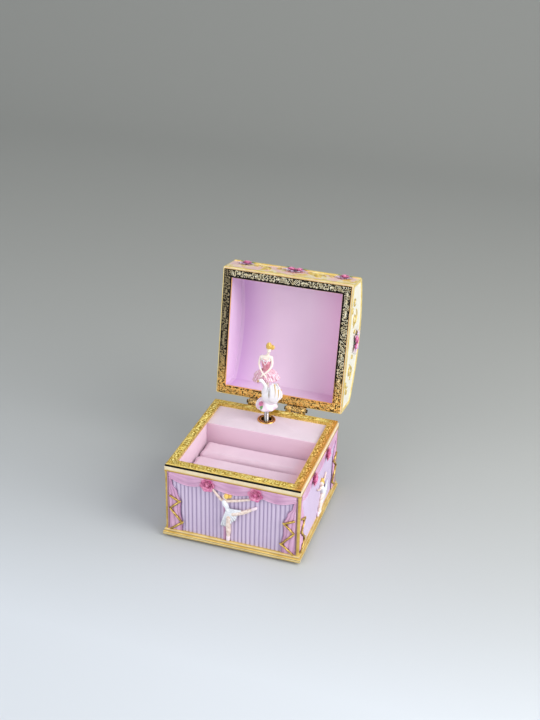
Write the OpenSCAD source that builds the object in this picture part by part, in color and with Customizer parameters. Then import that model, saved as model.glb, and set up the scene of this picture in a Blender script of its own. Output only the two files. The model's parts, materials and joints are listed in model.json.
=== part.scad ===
// Ballerina jewellery box with a musical movement.
// Right is +X, the front is -Y, up is +Z, and the table is the plane z = 0.

/* [Case] */
// Width and depth of the rim frame
case_w = 100; // [96:1:108]
// Height of the rim above the table
case_h = 62.4; // [61:0.2:68]
// Thickness of the cast walls at the panels
wall_t = 3.2; // [2.8:0.1:3.6]
// How far the cap band stands out past the rim frame
cap_out = 0.6; // [0.4:0.1:1]
// Height of the cap band
cap_h = 4; // [3:0.5:5]
// How far the panels lie back from the rim frame's edge
panel_in = 0.8; // [0.6:0.1:1]
// Width of the ledge that carries the tray floor
ledge_w = 3; // [2:0.5:4]
// Height of the ledge above the table
ledge_z = 32; // [30:0.5:34]
// Radius of the corner beads
bead_r = 1.5; // [1:0.1:1.8]

/* [Plinth] */
// Height of the plinth moulding
plinth_h = 5.2; // [4:0.2:7]
// How far the plinth stands out past the rim frame
plinth_out = 2.3; // [2:0.1:3]
// Thickness of the felt ring under the plinth
felt_t = 2; // [1:0.5:3]
// How far the felt ring lies in from the plinth's edge
felt_in = 3; // [2:0.5:4]
// Width of the felt ring
felt_w = 4.8; // [3:0.2:5.5]

/* [Rim frames] */
// Width of the gold frame on the case and on the lid
frame_w = 6.5; // [5.5:0.5:7]
// Thickness of each gold frame
frame_t = 2; // [1.6:0.2:2.6]

/* [Tray] */
// Depth of the mechanism cover, front to back, from the rear wall
cover_d = 30; // [28:1:33]
// Thickness of the tray floor
floor_t = 2; // [1.5:0.5:3]
// Thickness of the side linings
lining_t = 2.1; // [1.5:0.1:2.3]
// Thickness of the cover's boards
cover_t = 2; // [1.5:0.1:2.5]
// Height of the padded ring rolls
roll_h = 12.4; // [10:0.2:15]
// Share of the tray taken by the rear roll
roll_share = 0.36; // [0.3:0.02:0.4]

/* [Lid] */
// Height of the lid's crown above the case rim
lid_crown = 42; // [41:1:46]
// Height of the lid's straight walls above the case rim
lid_wall = 28; // [26:1:29]
// Thickness of the vault
vault_t = 6.4; // [5:0.2:7]
// Thickness of the lid's walls
lid_wall_t = 4.6; // [4:0.2:5]
// Thickness of the lid's lining
lid_lining_t = 1.2; // [0.8:0.1:1.5]
// Gap between the two gold frames when shut
lid_gap = 0.6; // [0.4:0.1:1]
// Angle that the lid opens to
open_angle = 99.2; // [92:0.2:105]

/* [Hinges] */
// Distance of the hinge axis behind the rim frame
hinge_back = 3.4; // [3.2:0.1:4]
// Height of the hinge axis above the rim
hinge_up = 1; // [0.6:0.1:1.4]
// Length of one hinge
hinge_len = 16; // [12:1:20]
// Distance of each hinge from the middle
hinge_x = 15.4; // [14:0.2:24]
// Radius of the hinge knuckles
knuckle_r = 2.1; // [1.8:0.1:2.3]
// Radius of the hinge pins
pin_r = 0.8; // [0.6:0.1:1]
// Thickness of the hinge leaves
leaf_t = 0.8; // [0.6:0.1:1]

/* [Figurine] */
// Sideways place of the spindle
spindle_x = -2.8; // [-4:0.1:-2]
// From the spindle to the rear wall's inner face
spindle_back = 10.2; // [9.8:0.1:11]
// Radius of the stem spring
stem_r = 2; // [1.7:0.1:2.2]
// Radius of the eyelet's flange
eyelet_r = 7; // [6.5:0.1:7.4]
// Radius of the eyelet's hole
eyelet_hole_r = 4.25; // [3.8:0.05:4.6]
// Height of the mound's underside above the rim
mound_up = 9.1; // [8.8:0.1:9.8]
// Radius of the mound
mound_r = 8.5; // [8:0.1:8.7]
// Height of the mound
mound_h = 7.5; // [7:0.1:8]

/* [Movement] */
// Height of the bottom plate's outer face above the table
bottom_z = 11; // [10:0.5:12]
// Thickness of the bottom plate
bottom_t = 1.6; // [1:0.1:2]
// Thickness of the bedplate
bed_t = 2.4; // [2:0.1:2.6]
// Gear module of the great wheel and the spindle pinion
wheel_m = 0.7; // [0.68:0.01:0.72]
// Gear module of the governor train
train_m = 0.5; // [0.48:0.01:0.51]
// Radius of the winding arbor and the spindle
arbor_r = 1.5; // [1.3:0.1:1.6]
// Radius of the pinned cylinder
cylinder_r = 6.3; // [6:0.1:6.4]
// Length of the pinned cylinder
cylinder_len = 20; // [19:0.5:20.5]
// Radial running clearance of every shaft in its hole
run_gap = 0.06; // [0.03:0.01:0.09]
// Clearance of loose fits
slip_gap = 0.2; // [0.15:0.05:0.3]

/* [Hidden] */
$fn = 48;
eps = 0.01;

// Case
half_rim = case_w / 2;
half_cap = half_rim + cap_out;
half_panel = half_rim - panel_in;
half_plinth = half_rim + plinth_out;
half_in = half_panel - wall_t;
half_low = half_in - ledge_w;
rim_z = case_h;
cap_top = rim_z - frame_t;
cap_z = cap_top - cap_h;
plinth_z = felt_t + plinth_h;
panel_h = cap_z - plinth_z;
cap_bead_r = 0.4;
cap_bead_out = 0.2;
// The plinth's two steps: a low bullnose and a light band above it
step_in = 0.9;
step_h = 0.54 * plinth_h;
boss_w = 4.8;
boss_h = 14;
screw_r = 1;
boss_at = half_low - boss_w / 2;

// Tray and cover
lining_face = half_in - lining_t;
cover_y = half_in - cover_d;
floor_top = ledge_z + floor_t;
tray_d = lining_face + cover_y;
roll_gap = 0.3;
rolls_d = tray_d - 4 * roll_gap;
eyelet_t = 0.8;
eyelet_wall = 0.8;

// Rod of the stop wire, in the rear rim
stop_y = half_rim - 5.1;
stop_r = 0.7;
stop_up = 2.4;
stop_travel = 2;

// Lid, drawn shut and then turned back about the hinge
lid_z = rim_z + lid_gap;
lid_body_z = lid_z + frame_t;
hinge_y = half_rim + hinge_back;
hinge_z = rim_z + hinge_up;
arch_rise = lid_crown - lid_wall;
arch_r = (half_cap * half_cap + arch_rise * arch_rise) / (2 * arch_rise);
arch_z = rim_z + lid_crown - arch_r;
trim_w = 2;
trim_t = 0.6;
lid_cavity = half_cap - lid_wall_t;
lining_gap = 0.1;

// Figurine
mound_z = rim_z + mound_up;
fold_z = mound_z - 2;
ferrule_r = stem_r + 0.7;
ferrule_h = 2.6;
// The dancer stands behind the swan, a little left of the spindle
spindle_y = half_in - spindle_back;
dancer_x = spindle_x - 1.7;
dancer_y = spindle_y + 0.6;
foot_z = mound_z + mound_h - 1;
waist_z = rim_z + 39.8;
shoulder_z = rim_z + 50.4;
head_z = rim_z + 58.6;
swan_y = spindle_y - 1.6;

// Movement: tooth numbers
great_n = 36;
pinion_n = 16;
contrate_n = 12;
train_n = 24;
governor_pinion_n = 10;
worm_wheel_n = 20;
worm_starts = 4;
addendum = 0.9;
dedendum = 1.2;

bed_z = bottom_z + bottom_t;
bed_top = bed_z + bed_t;
wheel_z = bed_top + 1;
wheel_t = 1.6;
crown_h = 1.2;
crown_top = wheel_z + wheel_t + crown_h;
great_r = wheel_m * great_n / 2;
pinion_r = wheel_m * pinion_n / 2;
// The great wheel lies in front and to the left of the spindle
mesh_angle = 237.5;
mesh_d = great_r + pinion_r + 0.1;
barrel_x = spindle_x + mesh_d * cos(mesh_angle);
barrel_y = spindle_y + mesh_d * sin(mesh_angle);
can_r = great_r - 1.6;
can_h = 12;
can_wall = 0.8;
crown_r = great_r - 0.1;
crown_w = 1.2;
// The cylinder's arbor runs to the right from the great wheel's crown teeth
crown_pinion_r = crown_r * contrate_n / great_n;
axis_z = crown_top - 0.6 + crown_pinion_r;
axis_y = barrel_y;
pinion_x = barrel_x + crown_r;
journal_r = 0.8;
post_x = barrel_x + great_r + wheel_m * addendum + 0.6;
post_t = 1;
drum_x = post_x + post_t + 0.5;
train_x = drum_x + cylinder_len + 0.7;
train_t = 1.2;
plate_x = train_x + train_t + 1.2;
plate_t = 1.2;
pin_out = 0.4;
train_r = train_m * train_n / 2;
governor_pinion_r = train_m * governor_pinion_n / 2;
governor_y = axis_y + train_r + governor_pinion_r + 0.1;
worm_wheel_r = train_m * worm_wheel_n / 2;
worm_wheel_t = 0.6;
worm_core_r = 0.85;
worm_r = 1.5;
worm_x = plate_x + plate_t + worm_r + 0.4;
plate2_x = worm_x + worm_r + 0.4;
worm_y = governor_y + worm_wheel_r + worm_core_r + 0.45;
worm_lead = worm_starts * 2 * PI * worm_wheel_r / worm_wheel_n;
worm_len = 6;
bearing_z = axis_z + worm_wheel_r + 0.8;
bearing_t = 1.2;
fly_z = bearing_z + bearing_t + 0.6;
fly_h = 6;
fly_w = 9;
bed_x0 = barrel_x - great_r - 1.4;
bed_x1 = plate2_x + plate_t + 1;
bed_y0 = spindle_y - 32.8;
bed_y1 = half_low - 0.8;
comb_n = 18;
comb_t = 1;
comb_root = 4.2;
comb_slot = 0.28;
// Each tooth is this much shorter than the one to its left is long
comb_taper = 0.2;
comb_tip_y = axis_y - cylinder_r - pin_out - 0.25;
bridge_z = cap_top - 16;
bridge_t = 2;

module at_spindle() translate([spindle_x, spindle_y, 0]) children();
module at_barrel() translate([barrel_x, barrel_y, 0]) children();
// Swings what is drawn shut back to the open lid's place
module opened() translate([0, hinge_y, hinge_z]) rotate([-open_angle, 0, 0])
    translate([0, -hinge_y, -hinge_z]) children();
module on_four_sides() for (a = [0:90:270]) rotate([0, 0, a]) children();
module at_hinges() for (s = [-1, 1]) translate([s * hinge_x, hinge_y, hinge_z]) children();
module along_x(r, x0, x1, y, z) translate([x0, y, z]) rotate([0, 90, 0]) cylinder(r = r, h = x1 - x0);
module square_ring(half_out, half_in, z0, h) translate([0, 0, z0]) linear_extrude(h) difference() {
    square(2 * half_out, center = true);
    square(2 * half_in, center = true);
}
// A block with the same mitred moulding on all four sides, from a half section
module mitred(half_max) intersection() {
    rotate([90, 0, 0]) linear_extrude(2 * half_max + 2, center = true) children();
    rotate([90, 0, 90]) linear_extrude(2 * half_max + 2, center = true) children();
}
module band(half, z0, z1) translate([-half, z0]) square([2 * half, z1 - z0]);
module nose(half, z, r) for (s = [-1, 1]) translate([s * (half - r), z]) circle(r);

// Case
module body_section() {
    band(half_panel, plinth_z, cap_z + eps);
    band(half_cap - 0.2, cap_z, cap_top);
    band(half_cap, cap_z + 0.8, cap_top - 0.8);
    nose(half_cap + cap_bead_out, cap_z + cap_bead_r, cap_bead_r);
    nose(half_cap + cap_bead_out, cap_top - cap_bead_r, cap_bead_r);
}
module at_bosses() for (x = [-1, 1], y = [-1, 1]) translate([x * boss_at, y * boss_at, 0]) children();
module box_body() color("mistyrose") difference() {
    union() {
        difference() {
            mitred(half_cap + 1) body_section();
            translate([-half_in, -half_in, ledge_z]) cube([2 * half_in, 2 * half_in, rim_z]);
            translate([-half_low, -half_low, 0]) cube([2 * half_low, 2 * half_low, rim_z]);
        }
        at_bosses() translate([-boss_w / 2, -boss_w / 2, bed_z]) cube([boss_w, boss_w, boss_h]);
    }
    at_bosses() translate([0, 0, bed_z - 1]) cylinder(r = screw_r + run_gap, h = boss_h - 2);
}
module plinth_section() {
    band(half_plinth - 0.6, felt_t, felt_t + step_h);
    band(half_plinth, felt_t + 0.6, felt_t + step_h - 0.6);
    nose(half_plinth, felt_t + 0.6, 0.6);
    nose(half_plinth, felt_t + step_h - 0.6, 0.6);
    band(half_plinth - step_in, felt_t, plinth_z - 0.8);
    band(half_plinth - step_in - 0.8, felt_t, plinth_z);
    nose(half_plinth - step_in, plinth_z - 0.8, 0.8);
}
module plinth() color("gold") difference() {
    mitred(half_plinth) plinth_section();
    translate([-half_low, -half_low, 0]) cube([2 * half_low, 2 * half_low, rim_z]);
}
module felt_ring() color("saddlebrown")
    square_ring(half_plinth - felt_in, half_plinth - felt_in - felt_w, 0, felt_t);
// Each bead wraps its corner, so a quarter of it is cut away by the panels
module corner_beads() color("gold") on_four_sides() translate([half_panel, half_panel, plinth_z])
    difference() {
        union() {
            cylinder(r = bead_r, h = panel_h);
            for (z = [0, panel_h - 1.6]) translate([0, 0, z]) cylinder(r = bead_r + 0.25, h = 1.6);
        }
        translate([-2 * bead_r, -2 * bead_r, -1]) cube([2 * bead_r, 2 * bead_r, panel_h + 2]);
    }

// Relief panels, drawn on the front and repeated on the other sides
pleat_n = 29;
pleat_d = 0.75;
curtain_half = half_panel - 4.25;
pleat_w = 2 * curtain_half / pleat_n;
relief_y = -half_panel - pleat_d - 0.15;
swag_drop = 4.1;
valance_h = 4.6;
valance_t = 0.9;
drape_t = 0.9;
drape_half = half_panel - bead_r - 0.4;
swag_x = 0.3784 * drape_half;
cord_r = 0.45;
module curtains() color("thistle") on_four_sides() translate([0, 0, plinth_z]) linear_extrude(panel_h)
    polygon(concat(
        [[-curtain_half, -half_panel], [-curtain_half, -half_panel - 0.15]],
        [for (i = [1:6 * pleat_n - 1]) [-curtain_half + i * pleat_w / 6,
            -half_panel - 0.15 - pleat_d * pow(sin(180 * i / 6), 2)]],
        [[curtain_half, -half_panel - 0.15], [curtain_half, -half_panel]]));
// Swags hang between the ends of the panel and the two roses
module swag(x0, x1, top, drop) polygon(concat([[x1, top], [x0, top]],
    [for (i = [0:12]) [x0 + (x1 - x0) * i / 12, top - valance_h - drop * sin(15 * i)]]));
module relief(y0, t) translate([0, y0, cap_z]) rotate([90, 0, 0]) linear_extrude(t) children();
module valances() color("orchid") on_four_sides() {
    relief(relief_y, valance_t) for (x = [[-drape_half, -swag_x], [-swag_x, swag_x], [swag_x, drape_half]])
        swag(x[0], x[1], 0, swag_drop);
    relief(relief_y, valance_t + 0.4) for (x = [[-drape_half, -swag_x], [-swag_x, swag_x],
        [swag_x, drape_half]]) swag(x[0], x[1], 0, swag_drop - 2.4);
}
// One drape hangs from the valance's end, nips in and falls to the foot of the panel
// Its inner edge: how far in from the panel's end, at which share of the panel's height
drape_edge = [[2.7, 0.2], [6.3, 0.305], [9, 0.478], [8.7, 0.65], [10.3, 0.833], [9.9, 1]];
module drape_outline() polygon(concat([[drape_half, -0.2 * panel_h], [drape_half, -panel_h]],
    [for (i = [len(drape_edge) - 1:-1:0]) [drape_half - drape_edge[i][0], -drape_edge[i][1] * panel_h]]));
module side_drapes() color("orchid") on_four_sides() for (s = [0, 1]) mirror([s, 0, 0])
    relief(relief_y, drape_t) drape_outline();
// The lacing's turns, given in the same way
cord_points = [[0.7, 0.398], [7.7, 0.472], [0.7, 0.616], [9.5, 0.829], [0.9, 0.984]];
// Stands children along the line from a to b
module from_to(a, b) translate(a)
    rotate([0, acos((b[2] - a[2]) / norm(b - a)), atan2(b[1] - a[1], b[0] - a[0])]) children();
module drape_cords() color("gold") on_four_sides() for (s = [-1, 1]) {
    p = [for (q = cord_points)
        [s * (drape_half - q[0]), relief_y - drape_t - cord_r, cap_z - q[1] * panel_h]];
    for (i = [0:len(p) - 2])
        from_to(p[i], p[i + 1]) cylinder(r = cord_r, h = norm(p[i + 1] - p[i]), $fn = 16);
    for (q = p) translate(q) sphere(cord_r + 0.02, $fn = 16);
}
// A limb tapers between two ball joints, which stand a hair proud of it
module limb(a, b, ra, rb) {
    translate(a) sphere(ra + 0.04, $fn = 16);
    translate(b) sphere(rb + 0.04, $fn = 16);
    from_to(a, b) cylinder(r1 = ra, r2 = rb, h = norm(b - a), $fn = 16);
}
// The relief dancer stands on one toe in arabesque, with her back in the curtain
toe_up = 0.7;
// Her drawing is made for this height between the plinth and the middle swag
dancer_room = 40.5;
middle_room = panel_h - valance_h - swag_drop;
skirt = [[-4.9, 28.4], [-2.4, 28.9], [7.2, 29.3], [5.8, 25.8], [4.1, 23], [0.8, 17.2], [-3.8, 11.9],
    [-6.2, 12.6], [-7.5, 14.7], [-6.4, 21]];
module relief_dancer() intersection() {
    translate([0, relief_y + 0.3, plinth_z + toe_up]) scale(middle_room / dancer_room) {
        limb([-4.6, 0, 33.3], [-3.6, 0, 28.5], 1.5, 1.1);
        limb([-7.2, 0, 33.7], [-3, 0, 33.9], 0.75, 0.75);
        limb([-7.4, 0, 33.7], [-14, 0, 40.7], 0.7, 0.5);
        limb([-3, 0, 33.9], [4.4, 0, 35.5], 0.7, 0.55);
        limb([4.4, 0, 35.5], [13, 0, 38.5], 0.55, 0.45);
        limb([-4, 0, 35.5], [-4.4, 0, 33.5], 0.6, 0.7);
        limb([-2.4, 0, 15.5], [-2.3, 0, 2], 1.3, 0.75);
        limb([3, 0, 24.5], [10.5, 0, 27], 1.2, 0.95);
        limb([10.5, 0, 27], [18.4, 0, 32.5], 0.95, 0.55);
        translate([-3.6, 0, 37.1]) sphere(2.1);
        translate([-1.4, 0, 38.3]) sphere(1.2);
        rotate([90, 0, 0]) linear_extrude(3.2, center = true) polygon(skirt);
    }
    translate([-half_rim, relief_y - 4, 0]) cube([case_w, 4, case_h]);
}
module panel_dancers() color("white") on_four_sides() relief_dancer();
// A rosette of rings round a bud, seen face on
module rosette(r, h) rotate_extrude() difference() {
    intersection() {
        translate([0, h - (r * r + h * h) / (2 * h)]) circle((r * r + h * h) / (2 * h), $fn = 96);
        square([r, h]);
    }
    for (u = [0.36, 0.7]) translate([u * r, h * 1.02]) circle(0.3 * h);
}
module panel_roses() color("hotpink") on_four_sides() for (s = [-1, 1])
    translate([s * swag_x, relief_y - valance_t - 0.4, cap_z - 4.4]) rotate([90, 0, 0]) rosette(4.3, 1.1);

// Frames, floor, lining and cover
module frame_section(z0, up) translate([0, z0]) scale([1, up]) {
    band(half_rim - 0.8, 0, frame_t);
    band(half_rim, 0.7, frame_t - 0.5);
    nose(half_rim, frame_t - 0.6, 0.6);
}
module gold_frame(z0, up) difference() {
    mitred(half_rim) frame_section(z0, up);
    cube([case_w - 2 * frame_w, case_w - 2 * frame_w, 4 * case_h], center = true);
    square_ring(half_rim - 1.2, half_rim - frame_w + 1, up > 0 ? z0 + frame_t - 0.4 : z0 - frame_t - 1,
        up > 0 ? 1 : 1.4);
}
module base_bezel() color("gold") difference() {
    gold_frame(cap_top, 1);
    translate([spindle_x, stop_y, cap_top - 1]) cylinder(r = stop_r + slip_gap, h = frame_t + 2);
}
module bottom_plate() color("dimgray") difference() {
    translate([-half_low + slip_gap, -half_low + slip_gap, bottom_z])
        cube([2 * (half_low - slip_gap), 2 * (half_low - slip_gap), bottom_t]);
    at_bosses() translate([0, 0, bottom_z - 1]) cylinder(r = screw_r + slip_gap, h = bottom_t + 2);
    at_bed_screws() translate([0, 0, bottom_z - 1]) cylinder(r = screw_r + slip_gap, h = bottom_t + 2);
    at_barrel() translate([0, 0, bottom_z - 1]) cylinder(r = 4, h = bottom_t + 2);
}
// A pan-head screw pointing up, with its head's top at z = 0 and a slot across it
module screw(r, shank) difference() {
    union() {
        translate([0, 0, -1.1]) cylinder(r = 1.9 * r, h = 1.1);
        translate([0, 0, -eps]) cylinder(r = r, h = shank);
    }
    translate([-2 * r, -0.25, -1.2]) cube([4 * r, 0.5, 0.6]);
}
module plate_screws() color("silver") at_bosses() translate([0, 0, bottom_z]) screw(screw_r, bottom_t + 7);
module tray_floor() color("peru") translate([-half_in + slip_gap, -half_in + slip_gap, ledge_z])
    cube([2 * (half_in - slip_gap), half_in + cover_y + cover_t, floor_t]);
module tray_lining() color("pink") difference() {
    translate([-half_in + slip_gap, -half_in + slip_gap, floor_top])
        cube([2 * (half_in - slip_gap), half_in + cover_y - 2 * slip_gap, cap_top - floor_top - 0.1]);
    translate([-lining_face, -lining_face, 0]) cube([2 * lining_face, 2 * half_in, case_h]);
}
// A ring roll is a low pillow, flat beneath and crowned on top
module ring_roll(y0, d) {
    rise = 3.4;
    r = (d * d / 4 + rise * rise) / (2 * rise);
    translate([-lining_face + roll_gap, 0, 0]) rotate([90, 0, 90])
        linear_extrude(2 * (lining_face - roll_gap)) intersection() {
            translate([y0, floor_top]) square([d, roll_h]);
            translate([y0 + d / 2, floor_top + roll_h - r]) circle(r, $fn = 96);
        }
}
roll_rear_d = rolls_d * roll_share;
roll_d = rolls_d * (1 - roll_share) / 2;
module ring_roll_rear() color("lightpink") ring_roll(cover_y - roll_gap - roll_rear_d, roll_rear_d);
module ring_roll_middle() color("lightpink") ring_roll(-lining_face + 2 * roll_gap + roll_d, roll_d);
module ring_roll_front() color("lightpink") ring_roll(-lining_face + roll_gap, roll_d);
module mechanism_cover() color("pink") difference() {
    translate([-half_in + slip_gap, cover_y, floor_top])
        cube([2 * (half_in - slip_gap), cover_d - slip_gap, cap_top - floor_top]);
    translate([-half_in + slip_gap + cover_t, cover_y + cover_t, ledge_z])
        cube([2 * (half_in - slip_gap - cover_t), cover_d, cap_top - cover_t - ledge_z]);
    at_spindle() translate([0, 0, cap_top - cover_t - 1])
        cylinder(r = eyelet_hole_r + eyelet_wall + 0.05, h = cover_t + 2);
    translate([spindle_x - 1.5, stop_y - 1.4, cap_top - cover_t - 1]) cube([3, 4, cover_t + 2]);
}
module eyelet() color("goldenrod") at_spindle() translate([0, 0, cap_top]) rotate_extrude() {
    translate([eyelet_hole_r, -cover_t - 0.6]) square([eyelet_wall, cover_t + 0.6 + eps]);
    translate([eyelet_hole_r, 0]) square([eyelet_r - eyelet_hole_r - eyelet_t, eyelet_t]);
    translate([eyelet_r - eyelet_t, 0]) intersection() {
        circle(eyelet_t);
        square(eyelet_t);
    }
}

// Hinges
knuckle_gap = 0.25;
knuckle_len = hinge_len / 3;
leaf_face = half_cap + cap_bead_out + 0.1 - hinge_y;
// The lower leaf ends just above the foot of the cap band, and the upper one is as high
leaf_top = knuckle_r - 0.4;
leaf_h = hinge_z - leaf_top - cap_z - 0.4;
module knuckles(first, last) for (i = [first:2:last])
    translate([-hinge_len / 2 + i * knuckle_len + knuckle_gap / 2, 0, 0]) rotate([0, 90, 0])
        cylinder(r = knuckle_r, h = knuckle_len - knuckle_gap);
// A leaf and its webs hang below the axis; the webs join it to its own knuckles
module leaf(first, last) difference() {
    union() {
        knuckles(first, last);
        translate([-hinge_len / 2, leaf_face, -leaf_top - leaf_h]) cube([hinge_len, leaf_t, leaf_h]);
        for (i = [first:2:last])
            translate([-hinge_len / 2 + i * knuckle_len + knuckle_gap / 2, leaf_face, -knuckle_r])
                cube([knuckle_len - knuckle_gap, -leaf_face, knuckle_r - pin_r - 0.3]);
    }
    translate([-hinge_len, 0, 0]) rotate([0, 90, 0]) cylinder(r = pin_r + run_gap, h = 2 * hinge_len);
}
module hinge_lower_leaves() color("gold") at_hinges() leaf(0, 2);
module hinge_upper_leaves() color("gold") opened() at_hinges() mirror([0, 0, 1]) leaf(1, 1);
module hinge_pins() color("gold") at_hinges() {
    translate([-hinge_len / 2 - 0.4, 0, 0]) rotate([0, 90, 0]) cylinder(r = pin_r, h = hinge_len + 0.8);
    for (s = [-1, 1]) translate([s * (hinge_len / 2 + 0.7), 0, 0]) rotate([0, 90, 0])
        cylinder(r = knuckle_r - 0.7, h = 0.8, center = true);
}

// Lid
module vault_section(half, r, z0) intersection() {
    translate([-half, z0]) square([2 * half, lid_crown + case_h]);
    translate([0, arch_z]) circle(r, $fn = 180);
}
module vault(half_x, half, r, z0) translate([-half_x, 0, 0]) rotate([90, 0, 90])
    linear_extrude(2 * half_x) vault_section(half, r, z0);
module lid_shell() color("ivory") opened() difference() {
    vault(half_cap, half_cap, arch_r, lid_body_z);
    vault(lid_cavity, lid_cavity, arch_r - vault_t, lid_body_z - 1);
}
module lid_bezel() color("darkgoldenrod") opened() gold_frame(lid_z + frame_t, -1);
module lid_lining() color("plum") opened() difference() {
    vault(lid_cavity - lining_gap, lid_cavity - lining_gap, arch_r - vault_t - lining_gap, lid_body_z);
    vault(lid_cavity - lid_lining_t, lid_cavity - lid_lining_t, arch_r - vault_t - lid_lining_t,
        lid_body_z - 1);
}
// Gold bands edge the end walls, the front and the rear
module lid_trim() color("gold") opened() difference() {
    union() {
        for (s = [0, 1]) mirror([s, 0, 0]) translate([half_cap, 0, 0]) rotate([90, 0, 90])
            linear_extrude(trim_t) difference() {
                vault_section(half_cap, arch_r, lid_body_z);
                vault_section(half_cap - trim_w, arch_r - trim_w, lid_body_z + trim_w);
            }
        for (s = [0, 1], z = [lid_body_z, rim_z + lid_wall - trim_w]) mirror([0, s, 0])
            translate([-half_cap, -half_cap - trim_t, z]) cube([2 * half_cap, trim_t, trim_w]);
    }
    at_hinges() translate([-hinge_len / 2 - slip_gap, leaf_face - 1, 0])
        cube([hinge_len + 2 * slip_gap, 3, lid_body_z + trim_w - hinge_z + 1]);
}
// C-scrolls on the end walls, from rings cut open
module c_scroll(r, w, open_at) linear_extrude(trim_t) difference() {
    circle(r);
    circle(r - w);
    rotate(open_at) square([2 * r, 0.8 * r]);
}
scroll_y = 22;
scroll_z = rim_z + 17.5;
module lid_scrolls() color("gold") opened() for (s = [0, 1]) mirror([s, 0, 0])
    translate([half_cap, 0, 0]) rotate([90, 0, 90]) for (t = [0, 1]) mirror([t, 0]) {
        translate([scroll_y, scroll_z]) c_scroll(7.5, 1.1, 20);
        translate([scroll_y - 4, scroll_z - 1.5]) c_scroll(3, 1, 200);
        translate([scroll_y + 14, scroll_z - 5]) c_scroll(4.4, 1, 120);
        translate([6.5, scroll_z + 12]) c_scroll(4, 1, 250);
    }
module lid_roses() color("hotpink") opened() {
    for (s = [0, 1]) mirror([0, s, 0]) for (x = [-39, -2.6, 2.8, 39])
        translate([x, -half_cap, rim_z + lid_wall - trim_w - 3.4]) rotate([90, 0, 0]) rosette(2.9, 1.2);
    for (s = [0, 1]) mirror([s, 0, 0]) for (p = [[0, 33], [3.6, 28.6], [-3.2, 27.6]])
        translate([half_cap, p[0], rim_z + p[1]]) rotate([0, 90, 0]) rosette(2.6, 1.3);
}

// Figurine, turning as one on the ferrule at the top of the stem spring
module stem_ferrule() color("silver") at_spindle() translate([0, 0, mound_z - 1.2]) difference() {
    cylinder(r = ferrule_r, h = ferrule_h);
    translate([0, 0, -1]) cylinder(r = stem_r + run_gap, h = 2.2);
}
module stem_spring() color("silver") at_spindle() translate([0, 0, bridge_z + 8])
    cylinder(r = stem_r, h = mound_z - bridge_z - 8 - 0.1);
module figurine_mound() color("lavenderblush") at_spindle() translate([0, 0, mound_z]) difference() {
    rotate_extrude($fn = 96) intersection() {
        square([mound_r, mound_h]);
        union() {
            translate([0, mound_h - 9.6]) circle(9.6);
            square([mound_r - 1.4, 4]);
        }
        polygon([[0, 0], [mound_r - 0.8, 0], [mound_r, 0.9], [mound_r, 3.4], [mound_r - 2.4, mound_h],
            [0, mound_h]]);
    }
    translate([0, 0, -1]) cylinder(r = ferrule_r + run_gap, h = ferrule_h - 1.2 + 1 + run_gap);
}
// A shallow lens is a petal, a leaf or a feather
module lens(r, t) {
    ball_r = (r * r + t * t / 4) / t;
    intersection() {
        translate([0, 0, t / 2 - ball_r]) sphere(ball_r, $fn = 32);
        translate([0, 0, ball_r - t / 2]) sphere(ball_r, $fn = 32);
    }
}
module mound_rose() color("hotpink") at_spindle() {
    translate([-4.4, -5.2, mound_z + 4.6]) rotate([52, 0, -40]) rosette(2.1, 1.3);
    translate([-1.2, -6.4, mound_z + 3.8]) rotate([62, 0, -10]) lens(1.5, 0.9);
}
module swan() color("white") translate([spindle_x, swan_y, mound_z + mound_h]) {
    // The body is a revolved egg that sits in the mound, chest to the left
    translate([1.6, 0, 3.4]) rotate([0, 78, 0]) rotate_extrude($fn = 32) intersection() {
        translate([-4.4, 0]) circle(9.2);
        translate([0, -9]) square([9, 18]);
    }
    for (s = [-1, 1]) for (i = [0, 1, 2]) translate([2.8 + i * 1.5, s * (3.2 - 0.5 * i), 5.6 + i * 1.3])
        rotate([90 - s * 12, 0, 0]) lens(5.2 - 0.5 * i, 2);
    limb([-5.2, 0, 5], [-3.4, 0, 8.6], 2.2, 1.5);
    limb([-3.4, 0, 8.6], [-3.6, 0, 12.2], 1.5, 1.15);
    limb([-3.6, 0, 12.2], [-5.8, 0, 13.9], 1.15, 1.5);
    translate([-6.8, 0, 13.7]) rotate([0, -104, 0]) cylinder(r1 = 0.9, r2 = 0.25, h = 2.6);
}
module dancer() color("bisque") translate([dancer_x, dancer_y, 0]) {
    torso_h = shoulder_z - waist_z;
    for (s = [-1, 1]) limb([s * 1.2, 0, waist_z - 5], [s * 0.75, 0, foot_z], 1.35, 0.75);
    translate([0, 0, waist_z]) rotate_extrude() polygon([[0, -6], [2.3, -5], [1.9, 0], [2.5, 4.5],
        [2.7, 7], [2.2, 9], [0.9, torso_h + 0.6], [0, torso_h + 1]]);
    limb([-2.6, -0.4, shoulder_z - 1.6], [2.6, -0.4, shoulder_z - 0.6], 1.2, 1.2);
    limb([0.4, 0, shoulder_z - 1], [0.9, 0, head_z - 2], 0.9, 0.9);
    for (s = [-1, 1]) {
        limb([s * 3.3, -0.4, shoulder_z - 1.2 + 0.4 * s], [s * 3.9, -1.6, waist_z + 3.6], 0.95, 0.75);
        limb([s * 3.9, -1.6, waist_z + 3.6], [-s * 0.6, -5.4, waist_z - 2.6], 0.75, 0.6);
    }
    translate([1.2, 0, head_z]) sphere(2.9);
    translate([3.2, 1.4, head_z + 1.7]) sphere(1.7);
}
tutu_r = 11.4;
module tutu() color("pink") translate([dancer_x, dancer_y, waist_z - 0.4]) rotate([0, -9, 0])
    rotate_extrude($fn = 96) polygon([[2.45, 0.4], [2.45, -0.6], [6, -4.2], [tutu_r - 0.3, -8.6],
        [tutu_r, -7.8], [9, -4.4], [5.6, -1.2], [3, 0.5]]);

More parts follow.
